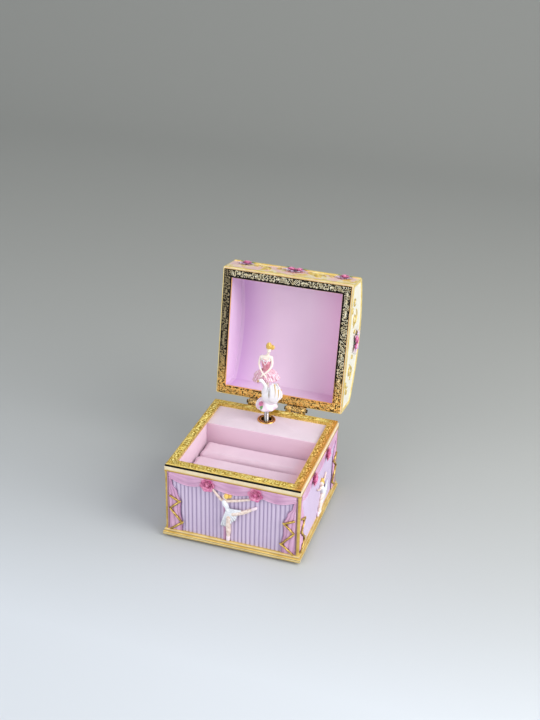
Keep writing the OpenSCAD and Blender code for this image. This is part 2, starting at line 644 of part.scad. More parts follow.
// Movement
function tooth(n, m, i) = let(p = 360 / n, r = m * n / 2) [
    for (q = [[-0.31, -dedendum], [-0.105, addendum], [0.105, addendum], [0.31, -dedendum]])
        [(r + m * q[1]) * cos(p * (i + q[0])), (r + m * q[1]) * sin(p * (i + q[0]))]];
module gear(n, m, t, turn = 0) rotate(turn) linear_extrude(t)
    polygon([for (i = [0:n - 1]) each tooth(n, m, i)]);
bed_screws = [[bed_x0 + 4, bed_y0 + 4], [bed_x0 + 4, bed_y1 - 4], [bed_x1 - 9, bed_y0 + 3.2],
    [bed_x1 - 15, bed_y1 - 4]];
module at_bed_screws() for (p = bed_screws) translate([p[0], p[1], 0]) children();
comb_x0 = drum_x + 0.4;
comb_x1 = drum_x + cylinder_len - 0.4;
module bedplate() color("slategray") difference() {
    union() {
        translate([bed_x0, bed_y0, bed_z]) cube([bed_x1 - bed_x0, bed_y1 - bed_y0, bed_t]);
        translate([comb_x0, bed_y0, bed_top - eps])
            cube([comb_x1 - comb_x0, comb_root, axis_z - comb_t / 2 - bed_top + eps]);
        translate([post_x, axis_y - 2.4, bed_top - eps]) cube([post_t, 4.8, axis_z + 2.4 - bed_top]);
    }
    at_barrel() translate([0, 0, bed_z - 1]) cylinder(r = arbor_r + run_gap, h = bed_t + 2);
    at_spindle() translate([0, 0, bed_z + 0.8]) cylinder(r = arbor_r + run_gap, h = bed_t);
    translate([worm_x, worm_y, bed_z + 0.8]) cylinder(r = journal_r + run_gap, h = bed_t);
    at_bed_screws() translate([0, 0, bed_z - 1]) cylinder(r = screw_r + run_gap, h = bed_t + 2);
    along_x(journal_r + run_gap, post_x - 1, post_x + post_t + 1, axis_y, axis_z);
    at_comb_screws() translate([0, 0, bed_top]) cylinder(r = screw_r + run_gap, h = 20);
}
module at_comb_screws() for (x = [comb_x0 + 3.4, comb_x1 - 3.4])
    translate([x, bed_y0 + comb_root / 2, 0]) children();
module movement_screws() color("silver") at_bed_screws() translate([0, 0, bottom_z])
    screw(screw_r, bottom_t + bed_t - 0.4);
module comb() color("lightsteelblue") {
    pitch = (comb_x1 - comb_x0) / comb_n;
    translate([0, 0, axis_z - comb_t / 2]) linear_extrude(comb_t) difference() {
        translate([comb_x0, bed_y0]) square([comb_x1 - comb_x0, comb_tip_y - bed_y0]);
        for (i = [1:comb_n - 1])
            translate([comb_x0 + i * pitch - comb_slot / 2, bed_y0 + comb_root + comb_taper * (comb_n - i)])
                square([comb_slot, comb_tip_y]);
        for (x = [comb_x0 + 3.4, comb_x1 - 3.4]) translate([x, bed_y0 + comb_root / 2])
            circle(screw_r + run_gap);
    }
}
module comb_screws() color("silver") at_comb_screws() translate([0, 0, axis_z + comb_t / 2])
    mirror([0, 0, 1]) screw(screw_r, 5);
// The key hangs in the recess under the bottom plate
module winding_key() color("goldenrod") at_barrel() {
    difference() {
        translate([0, 0, 6.6]) cylinder(r = 2.6, h = bottom_z - 7);
        translate([0, 0, 6]) cylinder(r = arbor_r + 0.01, h = bottom_z);
    }
    difference() {
        translate([0, 0, 5.6]) rotate([90, 0, 0]) linear_extrude(1.6, center = true) difference() {
            union() {
                for (s = [-1, 1]) translate([s * 6, 0]) circle(3.2);
                square([9, 3.4], center = true);
            }
            for (s = [-1, 1]) translate([s * 6, 0]) circle(1.7);
        }
        translate([0, 0, 6.6]) cylinder(r = 3, h = 6);
    }
    translate([0, 0, 6]) cylinder(r = 1.3, h = 0.62);
}
module winding_arbor() color("silver") at_barrel() {
    translate([0, 0, 6.7]) cylinder(r = arbor_r, h = wheel_z + wheel_t + can_h + 1.4 - 6.7);
    translate([0, 0, bed_top + slip_gap]) cylinder(r = arbor_r + 0.9, h = 0.6);
}
module spring_barrel() color("goldenrod") at_barrel() difference() {
    union() {
        translate([0, 0, wheel_z]) gear(great_n, wheel_m, wheel_t);
        for (i = [0:great_n - 1]) rotate(i * 360 / great_n)
            translate([crown_r - crown_w / 2, -0.36, wheel_z + wheel_t - eps])
                cube([crown_w, 0.72, crown_h + eps]);
        translate([0, 0, wheel_z + wheel_t - eps]) cylinder(r = can_r, h = can_h);
    }
    translate([0, 0, wheel_z + wheel_t]) cylinder(r = can_r - can_wall, h = can_h - can_wall);
    translate([0, 0, wheel_z - 1]) cylinder(r = arbor_r + run_gap, h = can_h + 6);
}
// A flat spiral from the arbor to the barrel's wall
spring_turns = 5;
spring_t = 0.5;
function spiral(u, side) = let(r = arbor_r + 0.5 + (can_r - can_wall - arbor_r - 0.65) * u + side,
    a = 360 * spring_turns * u) [r * cos(a), r * sin(a)];
module mainspring() color("steelblue") at_barrel() translate([0, 0, wheel_z + wheel_t + 0.4])
    linear_extrude(can_h - can_wall - 1) polygon(concat(
        [for (i = [0:20 * spring_turns]) spiral(i / (20 * spring_turns), 0)],
        [for (i = [20 * spring_turns:-1:0]) spiral(i / (20 * spring_turns), -spring_t)]));
module spindle() color("silver") at_spindle() {
    translate([0, 0, bed_z + 1]) cylinder(r = arbor_r, h = bridge_z + 7.4 - bed_z - 1);
    translate([0, 0, wheel_z]) gear(pinion_n, wheel_m, wheel_t - slip_gap,
        mesh_angle + 180 / pinion_n + (mesh_angle - 180) * great_n / pinion_n);
    // The socket that grips the foot of the spring
    translate([0, 0, bridge_z + bridge_t + slip_gap]) difference() {
        cylinder(r = stem_r + 0.9, h = 9);
        translate([0, 0, 8 - bridge_t - slip_gap]) cylinder(r = stem_r + 0.01, h = 9);
    }
}
// A tall bracket holds the spindle upright under the cover
bridge_x = spindle_x - pinion_r - wheel_m - 5.6;
module spindle_bridge() color("slategray") difference() {
    union() {
        translate([bridge_x, spindle_y + 0.6, bed_top]) cube([4.4, 4, bridge_z + bridge_t - bed_top]);
        translate([bridge_x, spindle_y - 3.4, bridge_z]) cube([spindle_x - bridge_x, 8, bridge_t]);
        translate([spindle_x, spindle_y, bridge_z]) cylinder(r = 4, h = bridge_t);
    }
    at_spindle() translate([0, 0, bridge_z - 1]) cylinder(r = arbor_r + run_gap, h = bridge_t + 2);
}
module turn_x(x, y, z, turn) translate([x, y, z]) rotate([turn, 0, 0]) rotate([90, 0, 90]) children();
// Each tooth of the pinion in the crown teeth: share of the pitch, height off the pitch circle
crown_tooth = [[-0.32, -0.7], [-0.13, 0.55], [0.13, 0.55], [0.32, -0.7]];
module cylinder_arbor() color("silver") {
    along_x(journal_r, pinion_x - crown_w / 2 - 0.2, plate_x + plate_t + 0.4, axis_y, axis_z);
    turn_x(pinion_x - crown_w / 2 + 0.1, axis_y, axis_z, 0) linear_extrude(crown_w - 0.2)
        polygon([for (i = [0:contrate_n - 1], q = crown_tooth)
            let(a = -90 + 360 / contrate_n * (i + 0.5 + q[0]), r = crown_pinion_r + q[1])
                [r * cos(a), r * sin(a)]]);
    turn_x(train_x, axis_y, axis_z, 0) gear(train_n, train_m, train_t, 0);
}
// Brass pins in staggered rows play the comb
module pinned_cylinder() color("goldenrod") difference() {
    union() {
        along_x(cylinder_r, drum_x, drum_x + cylinder_len, axis_y, axis_z);
        for (i = [0:comb_n - 1], j = [0:2])
            translate([comb_x0 + (comb_x1 - comb_x0) * (i + 0.5) / comb_n, axis_y, axis_z])
                rotate([(i * 77 + j * 131) % 360, 0, 0])
                    cylinder(r = 0.22, h = cylinder_r + pin_out, $fn = 6);
    }
    along_x(journal_r + 0.01, drum_x - 1, drum_x + cylinder_len + 1, axis_y, axis_z);
}
module governor_bracket() color("slategray") difference() {
    union() {
        for (p = [[plate_x, axis_y - 3], [plate2_x, governor_y - 3]]) translate([p[0], p[1], bed_top])
            cube([plate_t, worm_y + 2.6 - p[1], bearing_z + bearing_t - bed_top]);
        translate([plate_x, worm_y - 2.4, bearing_z]) cube([plate2_x + plate_t - plate_x, 5, bearing_t]);
    }
    along_x(journal_r + run_gap, plate_x - 1, plate_x + plate_t + 1, axis_y, axis_z);
    along_x(journal_r + run_gap, plate_x - 1, plate2_x + plate_t + 1, governor_y, axis_z);
    translate([worm_x, worm_y, bearing_z - 1]) cylinder(r = journal_r + run_gap, h = bearing_t + 2);
}
module governor_wheel() color("goldenrod") {
    along_x(journal_r, train_x - 0.4, plate2_x + plate_t + 0.4, governor_y, axis_z);
    turn_x(train_x, governor_y, axis_z, 0)
        gear(governor_pinion_n, train_m, train_t, 180 + 180 / governor_pinion_n);
    turn_x(worm_x - worm_wheel_t / 2, governor_y, axis_z, 0) gear(worm_wheel_n, train_m, worm_wheel_t, 0);
}
// A four-start worm carries the air brake
module fly() color("silver") {
    translate([worm_x, worm_y, bed_z + 1]) cylinder(r = journal_r, h = fly_z + fly_h - bed_z - 1);
    translate([worm_x, worm_y, axis_z - worm_len / 2]) linear_extrude(worm_len,
        twist = -360 * worm_len / worm_lead, slices = 14)
        rotate(-90 + 45 - 180 * worm_len / worm_lead)
            for (i = [0:worm_starts - 1]) rotate(i * 360 / worm_starts) polygon([[worm_core_r, -0.32],
                [worm_r, -0.2], [worm_r, 0.2], [worm_core_r, 0.32], [0, 0.3], [0, -0.3]]);
    translate([worm_x - fly_w / 2, worm_y - 0.2, fly_z]) cube([fly_w, 0.4, fly_h]);
}

// Stop wire: a rod in the rear rim, with an arm that reaches over the fly
arm_z = fly_z + fly_h + stop_travel + stop_r + 0.4;
module stop_wire() color("silver") {
    translate([spindle_x, stop_y, arm_z]) cylinder(r = stop_r, h = rim_z + stop_up - arm_z);
    for (p = [[spindle_x, stop_y], [worm_x, stop_y], [worm_x, worm_y]])
        translate([p[0], p[1], arm_z]) sphere(stop_r);
    along_x(stop_r, spindle_x, worm_x, stop_y, arm_z);
    translate([worm_x, stop_y, arm_z]) rotate([90, 0, 0]) cylinder(r = stop_r, h = stop_y - worm_y);
}
module stop_guide() color("slategray") difference() {
    translate([spindle_x - 3, stop_y - 1.9, cap_z - 8]) cube([6, half_in - stop_y + 1.9, 3]);
    translate([spindle_x, stop_y, cap_z - 9]) cylinder(r = stop_r + run_gap, h = 6);
}

box_body();
plinth();
felt_ring();
corner_beads();
curtains();
valances();
side_drapes();
drape_cords();
panel_dancers();
panel_roses();
base_bezel();
bottom_plate();
plate_screws();
tray_floor();
tray_lining();
ring_roll_rear();
ring_roll_middle();
ring_roll_front();
mechanism_cover();
eyelet();
hinge_lower_leaves();
hinge_pins();
hinge_upper_leaves();
lid_shell();
lid_bezel();
lid_lining();
lid_trim();
lid_scrolls();
lid_roses();
stem_ferrule();
stem_spring();
figurine_mound();
mound_rose();
swan();
dancer();
tutu();
bedplate();
movement_screws();
winding_key();
winding_arbor();
mainspring();
spring_barrel();
spindle();
spindle_bridge();
cylinder_arbor();
pinned_cylinder();
comb();
comb_screws();
governor_bracket();
governor_wheel();
fly();
stop_wire();
stop_guide();
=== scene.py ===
"""Looks of a musical jewellery box with a turning dancer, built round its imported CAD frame.

Lengths in the classes are millimetres in the frame's own axes: right is +X, the front is -Y, up is
+Z, and the table is z = 0. Each finished mesh is brought to metres once, in Workshop.piece.
"""

import json
import logging
import math
import random
from dataclasses import dataclass
from enum import Enum
from typing import Callable, Iterable, Sequence

import bmesh
import bpy
from mathutils import Matrix, Vector


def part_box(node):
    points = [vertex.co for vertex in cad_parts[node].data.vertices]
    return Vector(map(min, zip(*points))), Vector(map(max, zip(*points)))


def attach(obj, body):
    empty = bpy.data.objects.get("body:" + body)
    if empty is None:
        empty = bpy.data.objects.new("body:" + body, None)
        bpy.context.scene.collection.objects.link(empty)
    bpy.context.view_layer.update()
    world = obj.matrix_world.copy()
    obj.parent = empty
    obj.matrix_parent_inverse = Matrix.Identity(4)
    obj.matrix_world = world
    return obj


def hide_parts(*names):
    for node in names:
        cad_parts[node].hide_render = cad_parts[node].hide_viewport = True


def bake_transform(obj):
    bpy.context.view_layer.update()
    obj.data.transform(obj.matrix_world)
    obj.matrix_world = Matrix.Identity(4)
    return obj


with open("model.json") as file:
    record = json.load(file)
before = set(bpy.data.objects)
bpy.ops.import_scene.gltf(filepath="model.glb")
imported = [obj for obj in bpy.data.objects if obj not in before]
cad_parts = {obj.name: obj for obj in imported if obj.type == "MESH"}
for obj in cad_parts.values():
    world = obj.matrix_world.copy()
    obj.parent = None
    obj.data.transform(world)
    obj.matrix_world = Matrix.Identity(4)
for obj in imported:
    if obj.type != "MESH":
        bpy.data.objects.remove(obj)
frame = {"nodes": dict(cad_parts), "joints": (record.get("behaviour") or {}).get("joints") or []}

log = logging.getLogger("jewellery_box")
MM = 0.001
HEAD_BOW = 24.0  # degrees that the figurine's head bows
LEAF_TILT = -78.0  # degrees that lay a standing petal nearly flat
SHARP_DEGREES = 35.0  # a copied CAD edge sharper than this is rounded
CURTAIN_SHADOW = 1.5  # how far a swag or a drape shades the curtain
COAT_ROUGHNESS = 0.22
SHEEN_ROUGHNESS = 0.45
BUMP_STRENGTH = 0.6
DRIFT_ENDS = (0.32, 0.68)  # noise values where a drift has reached its low and its high colour
CURL_ENDS = (0.46, 0.56)  # noise values between which a hooked stroke fades in
COARSER = 0.22  # scale of a grain's coarse layer, as a share of its fine one's
COARSE_SHARE = 0.6
WELD = 0.0005  # drawn points closer than this become one
Rgb = tuple[float, float, float]
Point = tuple[float, float, float]
Pair = tuple[float, float]
Mesh = bmesh.types.BMesh
Vert = bmesh.types.BMVert
Piece = bpy.types.Object
Tree = bpy.types.NodeTree
Socket = bpy.types.NodeSocket
Sockets = bpy.types.bpy_prop_collection


def turned(degrees: float, axis: str) -> Matrix:
    """A turn about an axis through the origin."""
    return Matrix.Rotation(math.radians(degrees), 4, axis)


def moved(*by: float | Point) -> Matrix:
    """A move, given as one place or as its three numbers."""
    return Matrix.Translation(by if len(by) == 3 else by[0])


def scaled(x: float, y: float, z: float) -> Matrix:
    """A scaling along the three axes."""
    return Matrix.Diagonal((x, y, z, 1))


class Side(Enum):
    """The four outer faces of the case, by quarter turns from the front."""

    FRONT = 0
    RIGHT = 1
    BACK = 2
    LEFT = 3

    @property
    def turn(self) -> Matrix:
        """The turn about the vertical that brings the front's drawing to this face."""
        return turned(90 * self.value, "Z")


# ---------------------------------------------------------------------------------------------
# Shared shader effects


def feed(tree: Tree, made: bpy.types.Node, feeds: dict[str | int, object]) -> None:
    """Gives a node's inputs what goes into each.

    Args:
        tree: the tree that the node is in.
        made: the node.
        feeds: what goes into each named or numbered input: a socket or a value.
    """
    for label, value in feeds.items():
        if isinstance(value, Socket):
            tree.links.new(value, made.inputs[label])
        else:
            made.inputs[label].default_value = value


def make_node(tree: Tree, kind: str, feeds: dict[str | int, object], **settings: object) -> bpy.types.Node:
    """Adds a shader node, sets it up and feeds its inputs.

    Args:
        tree: the tree that it goes in.
        kind: the node's type, without the leading "ShaderNode".
        feeds: what goes into each named or numbered input: another node's socket, or a value.
        settings: the node's own properties.

    Returns:
        The node.
    """
    made = tree.nodes.new(f"ShaderNode{kind}")
    for label, value in settings.items():
        setattr(made, label, value)
    feed(tree, made, feeds)
    return made


def maths(tree: Tree, operation: str, *feeds: object, clamp: bool = False) -> Socket:
    """Adds a maths node on sockets or values, and gives its result."""
    return make_node(tree, "Math", dict(enumerate(feeds)), operation=operation,
                     use_clamp=clamp).outputs["Value"]


def mixed(tree: Tree, share: Socket, low: object, high: object) -> Socket:
    """Mixes two colours by a share, and gives the result."""
    return make_node(tree, "Mix", {"Factor": share, "A": low, "B": high}, data_type="RGBA").outputs["Result"]


class Effects:
    """Node groups that several finishes use. Each is built once."""

    _made: dict[str, Tree] = {}

    @classmethod
    def group(cls, name: str, inputs: dict[str, object],
              fill: Callable[[Tree, Sockets], dict[str, Socket]]) -> Tree:
        """Builds a named node group, or gives back the one that is there.

        Args:
            name: the group's name.
            inputs: each input's default: a number, a colour, or None for a place.
            fill: puts the nodes in, given the tree and its inputs, and gives a socket for each output.

        Returns:
            The group's node tree.
        """
        if name not in cls._made:
            tree = bpy.data.node_groups.new(name, "ShaderNodeTree")
            for label, value in inputs.items():
                kind = "Vector" if value is None else "Float" if isinstance(value, float) else "Color"
                socket = tree.interface.new_socket(label, in_out="INPUT", socket_type=f"NodeSocket{kind}")
                if value is not None:
                    socket.default_value = value
            given = fill(tree, tree.nodes.new("NodeGroupInput").outputs)
            for label in given:
                kind = "Color" if label == "Color" else "Float"
                tree.interface.new_socket(label, in_out="OUTPUT", socket_type=f"NodeSocket{kind}")
            out = tree.nodes.new("NodeGroupOutput")
            for label, socket in given.items():
                tree.links.new(socket, out.inputs[label])
            cls._made[name] = tree
        return cls._made[name]

    @classmethod
    def drift(cls) -> Tree:
        """A slow, uneven drift between two colours, as in hand-laid paint or napped cloth."""

        def fill(tree: Tree, put: Sockets) -> dict[str, Socket]:
            """Mixes the two colours by a soft noise."""
            place = make_node(tree, "TexCoord", {}).outputs["Object"]
            cloud = make_node(tree, "TexNoise", {"Vector": place, "Scale": put["Scale"], "Detail": 4.0})
            ramp = make_node(tree, "MapRange", {"Value": cloud.outputs["Fac"], "From Min": DRIFT_ENDS[0],
                                                "From Max": DRIFT_ENDS[1]})
            return {"Color": mixed(tree, ramp.outputs["Result"], put["Low"], put["High"])}

        return cls.group("tonal_drift", {"Scale": 60.0, "Low": (0.5, 0.5, 0.5, 1),
                                         "High": (0.6, 0.6, 0.6, 1)}, fill)

    @classmethod
    def grain(cls) -> Tree:
        """A fine two-layer grain: close pile, brush marks or hammered metal, by its scale."""

        def fill(tree: Tree, put: Sockets) -> dict[str, Socket]:
            """Adds a coarse noise to a fine one."""
            place = make_node(tree, "TexCoord", {}).outputs["Object"]
            fine, coarse = (make_node(tree, "TexNoise", {"Vector": place, "Scale": scale}).outputs["Fac"]
                            for scale in (put["Scale"], maths(tree, "MULTIPLY", put["Scale"], COARSER)))
            return {"Height": maths(tree, "MULTIPLY_ADD", coarse, COARSE_SHARE, fine)}

        return cls.group("fine_grain", {"Scale": 900.0}, fill)

    @classmethod
    def recess(cls) -> Tree:
        """Paints shade into a colour where the piece's own 'fold' attribute says that it lies deep: painted
        shade.
        """

        def fill(tree: Tree, put: Sockets) -> dict[str, Socket]:
            """Mixes the shade in by the attribute."""
            depth = make_node(tree, "Attribute", {}, attribute_name="fold").outputs["Fac"]
            return {"Color": mixed(tree, depth, put["Color"], put["Shade"])}

        return cls.group("recess_shade", {"Color": (0.8, 0.8, 0.8, 1), "Shade": (0.2, 0.2, 0.2, 1)}, fill)

    @classmethod
    def between(cls) -> Tree:
        """A mask that is 1 where a value lies between two limits, with edges as soft as asked."""

        def fill(tree: Tree, put: Sockets) -> dict[str, Socket]:
            """Multiplies a rising ramp by a falling one."""
            ramps = [maths(tree, "DIVIDE", maths(tree, "SUBTRACT", put[high], put[low]), put["Soft"],
                           clamp=True)
                     for high, low in (("Value", "From"), ("To", "Value"))]
            return {"Mask": maths(tree, "MULTIPLY", *ramps)}

        return cls.group("between_limits", {"Value": 0.0, "From": 0.0, "To": 1.0, "Soft": 0.00002}, fill)

    @classmethod
    def reach(cls) -> Tree:
        """How far a place lies from the middle of a square box: the greater distance and the lesser."""

        def fill(tree: Tree, put: Sockets) -> dict[str, Socket]:
            """Takes both from the distances across and along."""
            size = make_node(tree, "VectorMath", {0: put["Place"]}, operation="ABSOLUTE").outputs["Vector"]
            split = make_node(tree, "SeparateXYZ", {"Vector": size}).outputs
            return {label: maths(tree, operation, split["X"], split["Y"])
                    for label, operation in (("Reach", "MAXIMUM"), ("Near", "MINIMUM"))}

        return cls.group("square_reach", {"Place": None}, fill)

    @classmethod
    def curls(cls) -> Tree:
        """A mask of small hooked strokes, like the recesses of chased metal."""

        def fill(tree: Tree, put: Sockets) -> dict[str, Socket]:
            """Cuts a distorted noise near its middle."""
            cloud = make_node(tree, "TexNoise", {"Vector": put["Place"], "Scale": put["Scale"], "Detail": 1.0,
                                                 "Distortion": 1.6})
            cut = make_node(tree, "MapRange", {"Value": cloud.outputs["Fac"], "From Min": CURL_ENDS[0],
                                               "From Max": CURL_ENDS[1]})
            return {"Mask": cut.outputs["Result"]}

        return cls.group("hooked_strokes", {"Place": None, "Scale": 600.0}, fill)


@dataclass(frozen=True)
class Band:
    """A stretch, in millimetres, that a finish paints in a colour of its own.

    It lies along X, Y or Z, or along "Reach" or "Near", the greater and the lesser of the distances
    across and along. With curls it paints only hooked strokes, the finer the higher the number.
    """

    axis: str
    low: float
    high: float
    color: Rgb
    metallic: float = 0.0
    soft: float = 0.02
    curls: float = 0.0


@dataclass(frozen=True)
class Finish:
    """One surface finish: what it is made of, and how its colour and grain vary."""

    name: str
    slot: str
    low: Rgb
    high: Rgb
    roughness: float = 0.45
    metallic: float = 0.0
    drift: float = 90.0
    grain: float = 900.0
    depth: float = 0.0
    shade: Rgb | None = None
    coat: float = 0.0
    specular: float = 0.5
    sheen: float = 0.0
    sheen_tint: Rgb = (1.0, 1.0, 1.0)
    bands: tuple[Band, ...] = ()
    on_lid: bool = False

    def build(self) -> bpy.types.Material:
        """Makes the material, or gives back the one that is there.

        Returns:
            The material.
        """
        found = bpy.data.materials.get(self.name)
        if found:
            return found
        material = bpy.data.materials.new(self.name)
        material.use_nodes = True
        tree = material.node_tree
        shader = tree.nodes["Principled BSDF"]
        color, metallic = self._colour(tree), self.metallic
        for band in self.bands:
            mask = self._mask(tree, band)
            color = mixed(tree, mask, color, (*band.color, 1))
            if band.metallic:
                metallic = maths(tree, "MAXIMUM", maths(tree, "MULTIPLY", mask, band.metallic), metallic)
        feeds = {"Base Color": color, "Metallic": metallic, "Roughness": self.roughness,
                 "Specular IOR Level": self.specular, "Coat Weight": self.coat,
                 "Coat Roughness": COAT_ROUGHNESS,
                 "Sheen Weight": self.sheen, "Sheen Roughness": SHEEN_ROUGHNESS,
                 "Sheen Tint": (*self.sheen_tint, 1)}
        if self.depth:
            grain = make_node(tree, "Group", {"Scale": self.grain},
                              node_tree=Effects.grain()).outputs["Height"]
            feeds["Normal"] = make_node(tree, "Bump", {"Strength": BUMP_STRENGTH, "Distance": self.depth * MM,
                                                       "Height": grain}).outputs["Normal"]
        feed(tree, shader, feeds)
        return material

    def _colour(self, tree: Tree) -> Socket:
        """Puts the drifting base colour in, with its shade in the folds.

        Args:
            tree: the material's tree.

        Returns:
            The socket that gives the colour.
        """
        base = make_node(tree, "Group", {"Scale": self.drift, "Low": (*self.low, 1), "High": (*self.high, 1)},
                         node_tree=Effects.drift()).outputs["Color"]
        if self.shade is None:
            return base
        return make_node(tree, "Group", {"Color": base, "Shade": (*self.shade, 1)},
                         node_tree=Effects.recess()).outputs["Color"]

    def _mask(self, tree: Tree, band: Band) -> Socket:
        """Puts in the mask of a band along one axis, the lid's as if it were shut.

        Args:
            tree: the material's tree.
            band: the band that it is for.

        Returns:
            The socket that gives the mask.
        """
        place = make_node(tree, "TexCoord", {}).outputs["Object"]
        if self.on_lid:
            shut = opened().inverted()
            place = make_node(tree, "Mapping", {"Vector": place, "Location": shut.to_translation() * MM,
                                                "Rotation": shut.to_euler()}).outputs["Vector"]
        if band.axis in ("Reach", "Near"):
            split = make_node(tree, "Group", {"Place": place}, node_tree=Effects.reach())
        else:
            split = make_node(tree, "SeparateXYZ", {"Vector": place})
        between = make_node(tree, "Group", {"Value": split.outputs[band.axis], "From": band.low * MM,
                                            "To": band.high * MM, "Soft": band.soft * MM},
                            node_tree=Effects.between()).outputs["Mask"]
        if not band.curls:
            return between
        curls = make_node(tree, "Group", {"Scale": band.curls, "Place": place}, node_tree=Effects.curls())
        return maths(tree, "MULTIPLY", between, curls.outputs["Mask"])


# ---------------------------------------------------------------------------------------------
# Finishes

CASE_ENAMEL = Finish("case_enamel", "resin_cream", (0.82, 0.66, 0.40), (0.91, 0.79, 0.56), roughness=0.35,
                     coat=0.3, drift=120, grain=700, depth=0.04,
                     bands=(Band("Z", 56.2, 57.5, (0.56, 0.34, 0.06), 0.5, 0.15),
                            Band("Z", 57.5, 58.4, (0.72, 0.53, 0.26), 0.0, 0.5)))
LID_ENAMEL = Finish("lid_enamel", "resin_cream", (0.90, 0.74, 0.40), (0.95, 0.86, 0.60), roughness=0.34,
                    coat=0.3, drift=60, grain=500, depth=0.06, on_lid=True,
                    bands=(Band("Y", -51.2, -50.3, (0.84, 0.60, 0.15), curls=110.0),
                           Band("Y", -51.2, -50.3, (0.90, 0.60, 0.56), curls=48.0),
                           Band("X", -51.0, -50.4, (0.84, 0.81, 0.70)),
                           Band("X", 50.4, 51.0, (0.84, 0.81, 0.70))))
GOLD_PAINT = Finish("gold_paint", "resin_gold", (0.58, 0.37, 0.06), (0.84, 0.60, 0.17), roughness=0.28,
                    metallic=0.5, drift=150, grain=800, depth=0.06, coat=0.4,
                    bands=(Band("Near", 40.0, 48.6, (0.60, 0.34, 0.50)),
                           Band("Near", 48.6, 49.0, (0.20, 0.10, 0.04), soft=0.1)))
OCHRE_GOLD = Finish("ochre_gold", "resin_gold", (0.56, 0.40, 0.08), (0.80, 0.62, 0.20), roughness=0.36,
                    metallic=0.35, drift=250, grain=800, depth=0.06)
# Its band is painted shade: the scrolls on the frame's right arm a deeper orange.
GILT = Finish("gilt_relief", "gilt_brass", (0.86, 0.62, 0.10), (1.0, 0.88, 0.34), roughness=0.26,
              metallic=0.25,
              drift=420, grain=1600, depth=0.03, bands=(Band("X", 43.0, 60.0, (0.86, 0.44, 0.10), 0.3, 5.0),))
# Its bands are painted light and shade: the scrolls on the left end darker as painted shade, those over the
# rear rail a warm orange-gold as painted reflection.
LID_GILT = Finish("lid_gilt_relief", "gilt_brass", (0.62, 0.50, 0.26), (1.0, 0.94, 0.72), roughness=0.26,
                  metallic=0.3, drift=520, grain=1600, depth=0.03, on_lid=True,
                  bands=(Band("X", -60.0, -42.0, (0.36, 0.29, 0.16), 0.3, 3.0),
                         Band("Y", 12.0, 90.0, (1.0, 0.66, 0.20), 0.2, 28.0)))
# Black for painted shade and shadow: the strip under the frame's front edge and the ring on the eyelet's
# flange.
PAINTED_SHADE_BLACK = Finish("painted_shade_black", "black_plate", (0.006, 0.005, 0.005), (0.010, 0.008, 0.008),
                    roughness=0.7, specular=0.1)
CURTAIN = Finish("curtain_enamel", "resin_lilac", (0.64, 0.52, 0.69), (0.69, 0.57, 0.73), roughness=0.38,
                 coat=0.25, drift=30, grain=900, depth=0.03, shade=(0.30, 0.21, 0.38))
MAUVE = Finish("mauve_enamel", "resin_mauve", (0.64, 0.34, 0.53), (0.78, 0.47, 0.65), roughness=0.36,
               coat=0.25, drift=80, grain=900, depth=0.05, shade=(0.34, 0.14, 0.28))
ROSE = Finish("rose_enamel", "resin_pink", (0.68, 0.13, 0.35), (0.93, 0.42, 0.60), roughness=0.38, coat=0.25,
              drift=420, shade=(0.26, 0.02, 0.10))
LEAF = Finish("leaf_enamel", "resin_white", (0.06, 0.22, 0.06), (0.18, 0.40, 0.14), roughness=0.4, coat=0.2,
              drift=300)
WHITE = Finish("white_enamel", "resin_white", (0.86, 0.86, 0.88), (0.94, 0.94, 0.95), roughness=0.32,
               coat=0.35, drift=200, grain=900, depth=0.03, shade=(0.46, 0.47, 0.54))
SKIN = Finish("skin_enamel", "resin_skin", (0.72, 0.52, 0.42), (0.96, 0.84, 0.76), roughness=0.4, coat=0.2,
              drift=700, grain=1100, depth=0.14)
HAIR = Finish("hair_enamel", "resin_gold", (0.66, 0.40, 0.06), (0.88, 0.62, 0.16), roughness=0.4, coat=0.2,
              drift=500, grain=1400, depth=0.12, shade=(0.40, 0.20, 0.03))
BODICE = Finish("bodice_enamel", "resin_pink", (0.62, 0.20, 0.28), (0.84, 0.42, 0.48), roughness=0.36,
                coat=0.25, drift=600, shade=(0.38, 0.08, 0.14))
TUTU = Finish("tutu_enamel", "resin_pink", (0.76, 0.34, 0.46), (0.99, 0.88, 0.91), roughness=0.36,
              coat=0.25, drift=900, shade=(0.52, 0.14, 0.24))
MOUND = Finish("mound_enamel", "resin_white", (0.90, 0.82, 0.88), (0.96, 0.92, 0.95), roughness=0.36,
               coat=0.3, drift=250, shade=(0.76, 0.52, 0.66))
BEAK = Finish("beak_enamel", "resin_gold", (0.52, 0.29, 0.03), (0.74, 0.44, 0.06), roughness=0.35, coat=0.3)
# The band is painted shade: the right part of the tray a deeper rose.
VELVET = Finish("pink_velvet", "velvet", (0.72, 0.53, 0.62), (0.78, 0.60, 0.68), roughness=0.95, drift=40,
                grain=3200, depth=0.12, sheen=0.3, sheen_tint=(1.0, 0.84, 0.90),
                bands=(Band("X", 30.0, 90.0, (0.92, 0.54, 0.56), soft=14.0),))
# The band is painted shade: the cover's front face a deeper pink.
COVER_VELVET = Finish("pale_pink_velvet", "velvet", (0.70, 0.58, 0.63), (0.76, 0.64, 0.69), roughness=0.95,
                      drift=40, grain=3200, depth=0.12, sheen=0.3, sheen_tint=(1.0, 0.88, 0.93),
                      bands=(Band("Y", 15.0, 16.6, (0.80, 0.56, 0.68), soft=0.8),))
